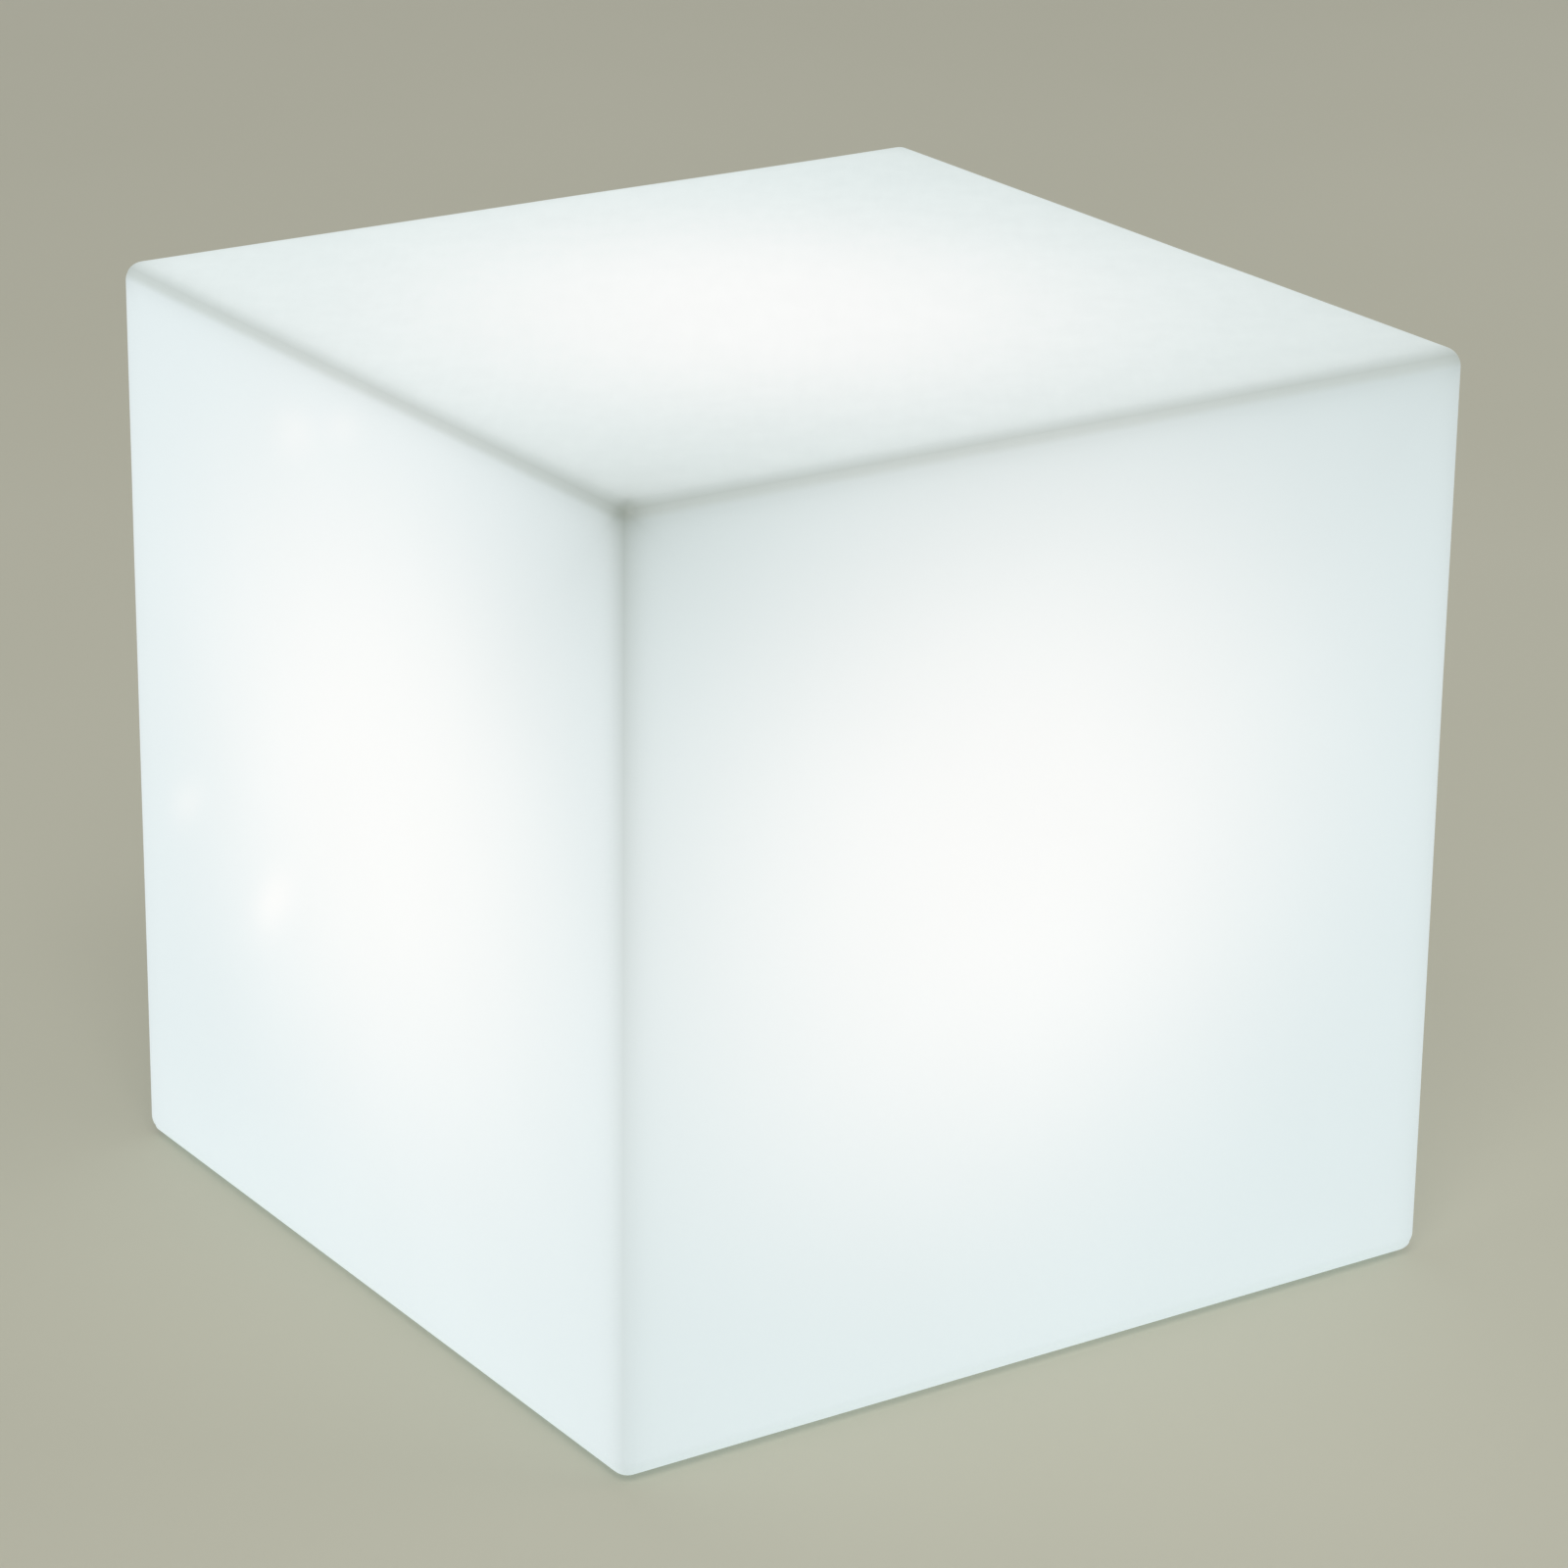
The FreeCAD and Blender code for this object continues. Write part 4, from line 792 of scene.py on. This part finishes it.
def ringed_mesh(name, rings):
    """Closed mesh through a stack of rings, with both ends filled."""
    body, rows = walls_through(rings)
    body.faces.new(list(reversed(rows[0])))
    body.faces.new(rows[-1])
    bmesh.ops.recalc_face_normals(body, faces=body.faces)
    return mesh_of(body, name)


def tube_mesh(name, rings):
    """Closed tube wall through rings whose last one lies on the first."""
    body, _ = walls_through(rings)
    bmesh.ops.remove_doubles(body, verts=body.verts, dist=seam_gap)
    bmesh.ops.recalc_face_normals(body, faces=body.faces)
    return mesh_of(body, name)


def pan_head_screw(name, screw):
    """Screw standing on its tip end, seat at nought: threaded shank, domed head, hexagon socket."""
    count = 36
    pitch = thread_pitch_share * screw.shank
    thread_root = screw.shank - thread_depth_share * screw.shank
    tip = -screw.length
    rings = [ring(tip, tip_share * screw.shank, count), ring(tip + pitch, thread_root, count)]
    turns = int((screw.length - 2 * pitch) / pitch)
    for i in range(turns):
        low = tip + pitch * (i + 1)
        rings.append(ring(low + pitch / 2, screw.shank, count))
        rings.append(ring(low + pitch, thread_root, count))
    rings.append(ring(-neck_share * pitch, thread_root, count))
    rings.append(ring(0, seat_share * screw.head, count))
    top = screw.head_height
    bend = top / 2
    rings.extend(quarter_rings(screw.head - bend, top - bend, bend, start_angle=0, steps=6, count=count))

    wide = screw.socket
    rings.append(ring(top, socket_mouth_share * wide, count))
    rings.append(ring(top - socket_chamfer_share * wide, socket_top_share * wide, count, flats=6))
    rings.append(ring(socket_floor_share * top, wide, count, flats=6))
    rings.append(ring(socket_bottom_share * top, socket_cone_share * wide, count, flats=6))
    return ringed_mesh(name, rings)


# ------------------------ geometry node trees
def grown(tree, name, **values):
    """Plain mesh object made by a geometry node tree with these input values."""
    seed = put_in_scene(name + "_seed", bpy.data.meshes.new(name + "_seed"))
    modifier = seed.modifiers.new("grow", "NODES")
    modifier.node_group = tree
    for item in tree.interface.items_tree:
        label = item.name.replace(" ", "_")
        if item.in_out == "INPUT" and label in values:
            modifier[item.identifier] = values[label]
    mesh = evaluated_mesh(seed)
    seed.modifiers.remove(modifier)
    bpy.data.objects.remove(seed)
    mesh.name = name
    finished_with(mesh, values["Finish"])
    return shown(mesh, name)


def block_tree():
    """Block with rounded edges whose faces sag and wave inwards a little, but for its underside."""
    above_underside = -0.999
    waves = 1.4
    grow = Grower(
        "rounded block", Half_size="Vector", Edge_radius="Float", Sag="Float", Waviness="Float", Cells="Int",
        Flat_share="Float", Middle="Vector", Finish="Material",
    )
    corners = grow.reckon("ADD", grow.given["Cells"], 1)
    cube = grow.add(
        "GeometryNodeMeshCube", Size=(2, 2, 2), Vertices_X=corners, Vertices_Y=corners, Vertices_Z=corners,
    )
    place = grow.add("GeometryNodeInputPosition").outputs[0]
    sign = grow.vectors("SIGN", place)
    share = grow.vectors("ABSOLUTE", place)
    flat = grow.vectors("MINIMUM", grow.vectors("DIVIDE", share, grow.given["Flat share"]), (1, 1, 1))
    beyond = grow.vectors("MAXIMUM", grow.vectors("SUBTRACT", share, grow.given["Flat share"]), (0, 0, 0))
    rest = grow.reckon("SUBTRACT", 1, grow.given["Flat share"])
    turn = grow.vectors("MULTIPLY", grow.vectors("DIVIDE", beyond, rest), (math.pi / 4,) * 3)
    outward = grow.vectors("NORMALIZE", grow.vectors("MULTIPLY", grow.vectors("TANGENT", turn), sign))
    core = grow.vectors("SUBTRACT", grow.given["Half size"], grow.given["Edge radius"])
    core = grow.vectors("MULTIPLY", grow.vectors("MULTIPLY", flat, core), sign)
    bent = grow.vectors("ADD", core, grow.vectors("MULTIPLY", outward, grow.given["Edge radius"]))

    squares = grow.vectors("MULTIPLY", place, place)
    x, y, z = grow.split(grow.vectors("SUBTRACT", (1, 1, 1), squares))
    spread = grow.reckon("MULTIPLY", x, y)
    spread = grow.reckon("MULTIPLY_ADD", y, z, spread)
    spread = grow.reckon("MULTIPLY_ADD", z, x, spread)
    _, _, height = grow.split(place)
    not_under = grow.reckon("GREATER_THAN", height, above_underside)
    wave = grow.add("ShaderNodeTexNoise", Vector=place, Scale=waves, Detail=1.0).outputs[0]
    ripple = grow.reckon("MULTIPLY", wave, grow.given["Waviness"])
    inward = grow.reckon("MULTIPLY_ADD", spread, grow.given["Sag"], ripple)
    inward = grow.reckon("MULTIPLY", inward, not_under)
    scale = grow.add("ShaderNodeVectorMath", {"operation": "SCALE"}, Vector=outward, Scale=inward)
    bent = grow.vectors("SUBTRACT", bent, scale.outputs["Vector"])
    bent = grow.vectors("ADD", bent, grow.given["Middle"])
    moved = grow.add("GeometryNodeSetPosition", Geometry=cube.outputs["Mesh"], Position=bent)
    return grow.end(moved.outputs[0])


def circle_of_pieces_tree():
    """Equal pieces spaced evenly on a circle, each facing outwards and then turned further at random."""
    grow = Grower(
        "circle of pieces", Piece="Object", Count="Int", Ring_radius="Float", First_angle="Float",
        Height="Float", Upside_down="Float", Random_turn="Float", Seed="Int", Finish="Material",
    )
    circle = grow.add(
        "GeometryNodeMeshCircle", Vertices=grow.given["Count"], Radius=grow.given["Ring radius"],
    )
    start = grow.add("ShaderNodeCombineXYZ", Z=grow.given["First angle"])
    lift = grow.add("ShaderNodeCombineXYZ", Z=grow.given["Height"])
    turned = grow.add(
        "GeometryNodeTransform", Geometry=circle.outputs[0], Translation=lift.outputs[0],
        Rotation=start.outputs[0],
    )
    piece = grow.add("GeometryNodeObjectInfo", Object=grow.given["Piece"])
    step = grow.reckon("DIVIDE", FULL_TURN, grow.given["Count"])
    index = grow.add("GeometryNodeInputIndex").outputs[0]
    outward = grow.reckon("MULTIPLY_ADD", index, step, grow.given["First angle"])
    chance = grow.add("FunctionNodeRandomValue", {"data_type": "FLOAT"}, Seed=grow.given["Seed"])
    outward = grow.reckon("MULTIPLY_ADD", chance.outputs[1], grow.given["Random turn"], outward)
    over = grow.reckon("MULTIPLY", grow.given["Upside down"], math.pi)
    turn = grow.add("ShaderNodeCombineXYZ", X=over, Z=outward)
    placed = grow.add(
        "GeometryNodeInstanceOnPoints", Points=turned.outputs[0], Instance=piece.outputs["Geometry"],
        Rotation=turn.outputs[0],
    )
    return grow.end(placed.outputs[0])


def coil_tree():
    """Coil spring of round wire standing on its lower end."""
    points_in_turn = 28
    points_round_wire = 10
    grow = Grower(
        "coil spring", Coil_radius="Float", Wire_radius="Float", Height="Float", Turns="Float", Foot="Vector",
        Finish="Material",
    )
    radius = grow.given["Coil radius"]
    spiral = grow.add(
        "GeometryNodeCurveSpiral", Resolution=points_in_turn, Rotations=grow.given["Turns"],
        Start_Radius=radius, End_Radius=radius, Height=grow.given["Height"],
    )
    section = grow.add(
        "GeometryNodeCurvePrimitiveCircle", Resolution=points_round_wire, Radius=grow.given["Wire radius"],
    )
    wire = grow.add(
        "GeometryNodeCurveToMesh", Curve=spiral.outputs[0], Profile_Curve=section.outputs[0], Fill_Caps=True,
    )
    placed = grow.add("GeometryNodeTransform", Geometry=wire.outputs[0], Translation=grow.given["Foot"])
    return grow.end(placed.outputs[0])


# ------------------------ the cube's wall
def cut_away(piece, tools):
    """A piece with each tool's shape cut out of it. It takes the place of the piece and the tools."""
    for tool in tools:
        modifier = piece.modifiers.new("cut", "BOOLEAN")
        modifier.operation = "DIFFERENCE"
        modifier.solver = "EXACT"
        modifier.object = tool
    mesh = evaluated_mesh(piece)
    name = piece.name
    for used in [piece, *tools]:
        bpy.data.objects.remove(used)
    mesh.name = name
    return shown(mesh, name, sharp=28)


def post(name, x, y, low, high, radius):
    """Upright round post."""
    return shown(ringed_mesh(name, [ring(z, radius, centre=(x, y)) for z in (low, high)]), name)


def recess_air():
    """The air of the round recess and of the opening above it, with a rounded mouth and corner."""
    count = 192
    mouth = (recess_radius + mouth_radius, stand_off + mouth_radius)
    corner = (recess_radius - corner_radius, shelf_z - corner_radius)
    rings = [ring(stand_off - overshoot, recess_radius + mouth_radius, count)]
    rings.extend(quarter_rings(*mouth, mouth_radius, start_angle=270, steps=8, sweep=-90, count=count))
    rings.extend(quarter_rings(*corner, corner_radius, start_angle=0, steps=6, count=count))
    rings.append(ring(shelf_z, opening_radius, count))
    rings.append(ring(shelf_z + shelf_thickness + overshoot, opening_radius, count))
    return shown(ringed_mesh("recess_air", rings), "recess_air")


def foot_centre(name):
    """Place of a foot, seen from above."""
    middle = middle_of(name)
    return middle.x, middle.y


def build_milky_shell(finish):
    """Hollow cube wall with its recess, seat, screw bosses and foot pockets."""
    blocks = block_tree()
    middle = (0, 0, (stand_off + cube_top) / 2)
    half_height = (cube_top - stand_off) / 2
    alike = {
        "Sag": face_sag, "Waviness": waviness, "Flat_share": flat_share, "Middle": middle, "Finish": finish,
    }
    shell = grown(
        blocks, "milky_shell", Half_size=(half_side, half_side, half_height), Edge_radius=edge_radius,
        Cells=cells_along_side, **alike,
    )
    cavity = grown(
        blocks, "cavity", Half_size=(half_side - wall, half_side - wall, half_height - wall),
        Edge_radius=edge_radius - wall, Cells=cells_along_side // 2, **alike,
    )
    bottom = stand_off - overshoot
    kept = [post("recess_wall", 0, 0, bottom, shelf_z + shelf_thickness, recess_radius + wall)]
    for i in range(insert_count):
        angle = first_insert_angle + FULL_TURN * i / insert_count
        x, y = insert_ring * math.cos(angle), insert_ring * math.sin(angle)
        kept.append(post("boss", x, y, shelf_z, insert_boss_top, insert_boss_radius))
    pockets = []
    pocket_radius = foot_radius + foot_gap
    for name in foot_names:
        x, y = foot_centre(name)
        kept.append(post("pocket_wall", x, y, bottom, foot_pocket_top + wall, pocket_radius + wall))
        pockets.append(post("pocket", x, y, bottom, foot_pocket_top, pocket_radius))
    cavity = cut_away(cavity, kept)
    shell = cut_away(shell, [cavity, recess_air(), *pockets])
    finished_with(shell.data, finish)
    return shell


# ------------------------ feet, screws, chips and spring
def build_foot(name, finish):
    """Rubber foot: tapered rim, rounded edge, a ring groove underneath and a dished middle."""
    x, y = foot_centre(name)
    at = {"count": 72, "centre": (x, y)}
    tread = foot_radius - foot_taper
    edge = 0.5 * MM
    dish_depth = 0.35 * MM
    dish_floor = 2.0 * MM
    dish_rim = 4.0 * MM
    groove_depth = 0.7 * MM
    groove_slope = 0.4 * MM
    groove_inner = tread - 3.6 * MM
    groove_outer = tread - 1.8 * MM
    rings = [
        ring(dish_depth, dish_floor, **at),
        ring(0.0, dish_rim, **at),
        ring(0.0, groove_inner, **at),
        ring(groove_depth, groove_inner + groove_slope, **at),
        ring(groove_depth, groove_outer - groove_slope, **at),
        ring(0.0, groove_outer, **at),
    ]
    rings.extend(quarter_rings(tread - edge, edge, edge, start_angle=270, steps=5, **at))
    rings.append(ring(stand_off, foot_radius, **at))
    rings.append(ring(foot_pocket_top, foot_radius, **at))
    foot = shown(ringed_mesh("rubber_" + name, rings), "rubber_" + name)
    finished_with(foot.data, finish)
    return foot


def chip_mesh():
    """Square light chip with a chamfered top edge and a sunk round window."""
    half = 2.5 * MM
    top = 1.6 * MM
    chamfer = 0.15 * MM
    sink = 0.3 * MM
    window = 1.9 * MM
    taper = 0.1 * MM
    count = 32
    rings = [
        ring(0, half, count, flats=4), ring(top - chamfer, half, count, flats=4),
        ring(top, half - chamfer, count, flats=4), ring(top, window, count),
        ring(top - sink, window - taper, count), ring(top - sink, window / 2, count),
    ]
    return ringed_mesh("light_chip", rings)


def insert_mesh():
    """Knurled brass insert with a groove round its middle, bored for the screw."""
    outer = 3.55 * MM
    bore = 2.05 * MM
    length = 9.0 * MM
    groove = 0.4 * MM
    chamfer = 0.3 * MM
    knurl = 0.18 * MM
    count = 60
    middle = length / 2
    rings = [
        ring(length, bore, count), ring(0, bore, count), ring(0, outer - groove, count),
        ring(chamfer, outer, count, ridge=knurl), ring(middle - groove, outer, count, ridge=knurl),
        ring(middle - groove, outer - groove, count), ring(middle + groove, outer - groove, count),
        ring(middle + groove, outer, count, ridge=knurl), ring(length - chamfer, outer, count, ridge=knurl),
        ring(length, outer - groove, count), ring(length, bore, count),
    ]
    return tube_mesh("brass_insert", rings)


def ring_of(tree, mesh, name, finish, count, radius, height, **options):
    """Pieces on a circle, as one plain mesh."""
    pattern = put_in_scene(mesh.name, mesh)
    values = {"First_angle": 0.0, "Upside_down": 0.0, "Random_turn": 0.0, "Seed": turn_seed, **options}
    piece = grown(
        tree, name, Piece=pattern, Count=count, Ring_radius=radius, Height=height, Finish=finish, **values,
    )
    bpy.data.objects.remove(pattern)
    return piece


def build_ringed_pieces(finishes):
    """Screws, inserts and light chips, each set placed on its circle."""
    circle = circle_of_pieces_tree()
    board_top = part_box("led_board")[1].z
    dome_ring_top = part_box("dome_ring")[1].z
    dome_screw_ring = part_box("dome_screws")[1].x - dome_screw.head
    flange_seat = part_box("base_screws")[0].z + base_screw.head_height
    from_insert = {"First_angle": first_insert_angle}
    tightened = {"Random_turn": FULL_TURN}

    # Node: mesh, name, slot, how many, radius of their circle, its height, and how they are turned.
    sets = {
        "base_screws": (
            pan_head_screw("base_screw", base_screw), "flange_screws", "stainless_steel",
            insert_count, insert_ring, flange_seat, {"Upside_down": 1.0, **from_insert, **tightened},
        ),
        "dome_screws": (
            pan_head_screw("dome_screw", dome_screw), "dome_ring_screws", "stainless_steel",
            dome_screw_count, dome_screw_ring, dome_ring_top, tightened,
        ),
        "led_board_screws": (
            pan_head_screw("lamp_board_screw", lamp_screw), "lamp_board_screws", "plated_steel",
            lamp_screw_count, lamp_screw_ring, board_top, {**from_insert, **tightened},
        ),
        "threaded_inserts": (
            insert_mesh(), "knurled_inserts", "brass", insert_count, insert_ring, shelf_z, from_insert,
        ),
    }
    for node, (mesh, name, slot, count, radius, height, turns) in sets.items():
        piece = ring_of(circle, mesh, name, finishes[slot], count, radius, height, **turns)
        stand_for(piece, "root", slot, node)

    chip = chip_mesh()
    chips = []
    for count, radius in chip_rings:
        chips.append(ring_of(circle, chip.copy(), "chips", finishes["led_window"], count, radius, board_top,
                             First_angle=math.pi / count))
    stand_for(joined("light_chips", chips, finishes["led_window"]), "root", "led_window", "led_chips")


def build_spring(finish):
    """Return spring of the button, made at one length; the real one shortens as the button goes in."""
    low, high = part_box("switch_spring")
    foot = (switch_middle.x, switch_middle.y, low.z + spring_wire)
    spring = grown(
        coil_tree(), "button_spring", Coil_radius=spring_radius, Wire_radius=spring_wire,
        Height=high.z - low.z - 2 * spring_wire, Turns=spring_turns, Foot=foot, Finish=finish,
    )
    stand_for(spring, "root", "plated_steel", "switch_spring")
    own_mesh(spring)


# ------------------------ moulded pieces with softened edges
merge_distance = 0.002 * MM
flat_angle = math.radians(0.3)
bevel_angle = math.radians(50)

# Node: name of the softened piece, the body it rides on, its slot and the width of its softened edges.
softened_nodes = {
    "port_door": ("softened_port_door", "port_door", "control_plastic", 0.45 * MM),
    "power_button": ("softened_power_button", "power_button", "control_plastic", 0.25 * MM),
    "switch_body": ("softened_switch_bezel", "root", "stainless_steel", 0.20 * MM),
    "vent_plug": ("softened_vent_plug", "root", "control_plastic", 0.25 * MM),
    "base_housing": ("softened_base_housing", "root", "housing_plastic", 0.35 * MM),
    "dome_ring": ("softened_dome_ring", "root", "housing_plastic", 0.30 * MM),
}


def soften(node, name, width, finish):
    """Copy of a node with its doubled points merged and its sharp edges rounded a little."""
    body = bmesh.new()
    body.from_mesh(frame["nodes"][node].data)
    bmesh.ops.remove_doubles(body, verts=body.verts, dist=merge_distance)
    bmesh.ops.dissolve_limit(body, angle_limit=flat_angle, verts=body.verts, edges=body.edges)
    rough = shown(mesh_of(body, name), name, sharp=40)
    bevel = rough.modifiers.new("soften", "BEVEL")
    bevel.width = width
    bevel.segments = 2
    bevel.limit_method = "ANGLE"
    bevel.angle_limit = bevel_angle
    evened = rough.modifiers.new("even", "WEIGHTED_NORMAL")
    evened.keep_sharp = True
    done = evaluated_mesh(rough)
    bpy.data.objects.remove(rough)
    done.name = name
    finished_with(done, finish)
    return put_in_scene(name, done)


# ------------------------ camera, floor and light
camera_place = Vector((-1.30194, -1.96297, 1.08507))
camera_target = Vector((-0.01249, -0.02747, 0.215))
camera_lens = 127.13
camera_roll = math.radians(0.684)

floor_reach = 12.0
floor_cloud_size = 0.8
floor_tones = (shade(0.497, 0.484, 0.382), shade(0.517, 0.503, 0.402))

# Lamps: place, side and power.
lamps = {
    "key": ((-2.4, -3.3, 5.4), 3.6, 135),
    "fill": ((4.2, -2.1, 3.9), 3.6, 36),
}
lamp_target = Vector((0, 0, 0.2))
sky_colour = shade(0.97, 0.99, 1.0)
sky_strength = 0.55
backdrop_colour = shade(0.80, 0.80, 0.78)


def make_camera():
    """Long lens from in front, above and a little to the left, turned a trifle."""
    data = bpy.data.cameras.new("camera")
    data.sensor_fit = "HORIZONTAL"
    data.sensor_width = 36.0
    data.lens = camera_lens
    data.clip_start = 0.05
    data.clip_end = 60.0
    camera = put_in_scene("camera", data)
    facing = (camera_target - camera_place).to_track_quat("-Z", "Y").to_matrix().to_4x4()
    roll = Matrix.Rotation(camera_roll, 4, "Z")
    camera.matrix_world = Matrix.Translation(camera_place) @ facing @ roll
    bpy.context.scene.camera = camera


def make_floor():
    """Plain pale floor, which can be looked through from underneath."""
    mesh = bpy.data.meshes.new("floor")
    corners = [(x * floor_reach, y * floor_reach, 0) for x, y in ((-1, -1), (1, -1), (1, 1), (-1, 1))]
    mesh.from_pydata(corners, [], [(0, 1, 2, 3)])
    floor = put_in_scene("floor", mesh)
    finish = Finish("plain_pale_floor")
    tone = finish.between(finish.noise(floor_cloud_size, detail=3.0), 0.0, 1.0)
    finish.set(Base_Color=finish.mixed(tone, *floor_tones), Roughness=0.7)
    clear = finish.add("ShaderNodeBsdfTransparent").outputs[0]
    from_below = finish.add("ShaderNodeNewGeometry").outputs["Backfacing"]
    choice = finish.either(from_below, finish.surface.outputs[0], clear)
    finish.feed(finish.tree.nodes["Material Output"].inputs["Surface"], choice)
    mesh.materials.append(finish.material)


def make_lamp(name, place, size, power):
    """Square lamp turned to the cube."""
    data = bpy.data.lights.new(name, "AREA")
    data.size = size
    data.energy = power
    lamp = put_in_scene(name, data)
    lamp.location = place
    lamp.rotation_euler = (lamp_target - Vector(place)).to_track_quat("-Z", "Y").to_euler()


def make_light():
    """Two soft lamps and an even sky, with a paler backdrop that only the camera, gloss and glass see."""
    for name, (place, size, power) in lamps.items():
        make_lamp(name, place, size, power)
    world = bpy.data.worlds.new("studio")
    bpy.context.scene.world = world
    world.use_nodes = True
    air = NodeWork(world.node_tree)
    sky = air.tree.nodes["Background"]
    air.feed(sky.inputs["Color"], sky_colour)
    air.feed(sky.inputs["Strength"], sky_strength)
    backdrop = air.add("ShaderNodeBackground", Color=backdrop_colour)
    rays = air.add("ShaderNodeLightPath").outputs
    seen = air.reckon("MAXIMUM", rays["Is Camera Ray"], rays["Is Glossy Ray"])
    seen = air.reckon("MAXIMUM", seen, rays["Is Transmission Ray"])
    choice = air.either(seen, sky.outputs[0], backdrop.outputs[0])
    air.feed(air.tree.nodes["World Output"].inputs["Surface"], choice)


# ------------------------ the whole scene
def build():
    """Makes the camera, floor and light, gives every node its finish, and adds the pieces."""
    bpy.context.scene.view_settings.view_transform = "Standard"
    make_camera()
    make_floor()
    make_light()
    finishes = make_finishes()
    slots = {part["node"]: part["material_slot"] for part in frame["record"]["subparts"]}
    for node, piece in frame["nodes"].items():
        for slot in piece.material_slots:
            slot.material = finishes[slots[node]]
    stand_for(build_milky_shell(finishes["shell_polyethylene"]), "root", "shell_polyethylene", "cube_shell")
    for name in foot_names:
        stand_for(build_foot(name, finishes["foot_rubber"]), "root", "foot_rubber", name)
    build_ringed_pieces(finishes)
    build_spring(finishes["plated_steel"])
    for node, (name, body, slot, width) in softened_nodes.items():
        stand_for(soften(node, name, width, finishes[slot]), body, slot, node)


build()
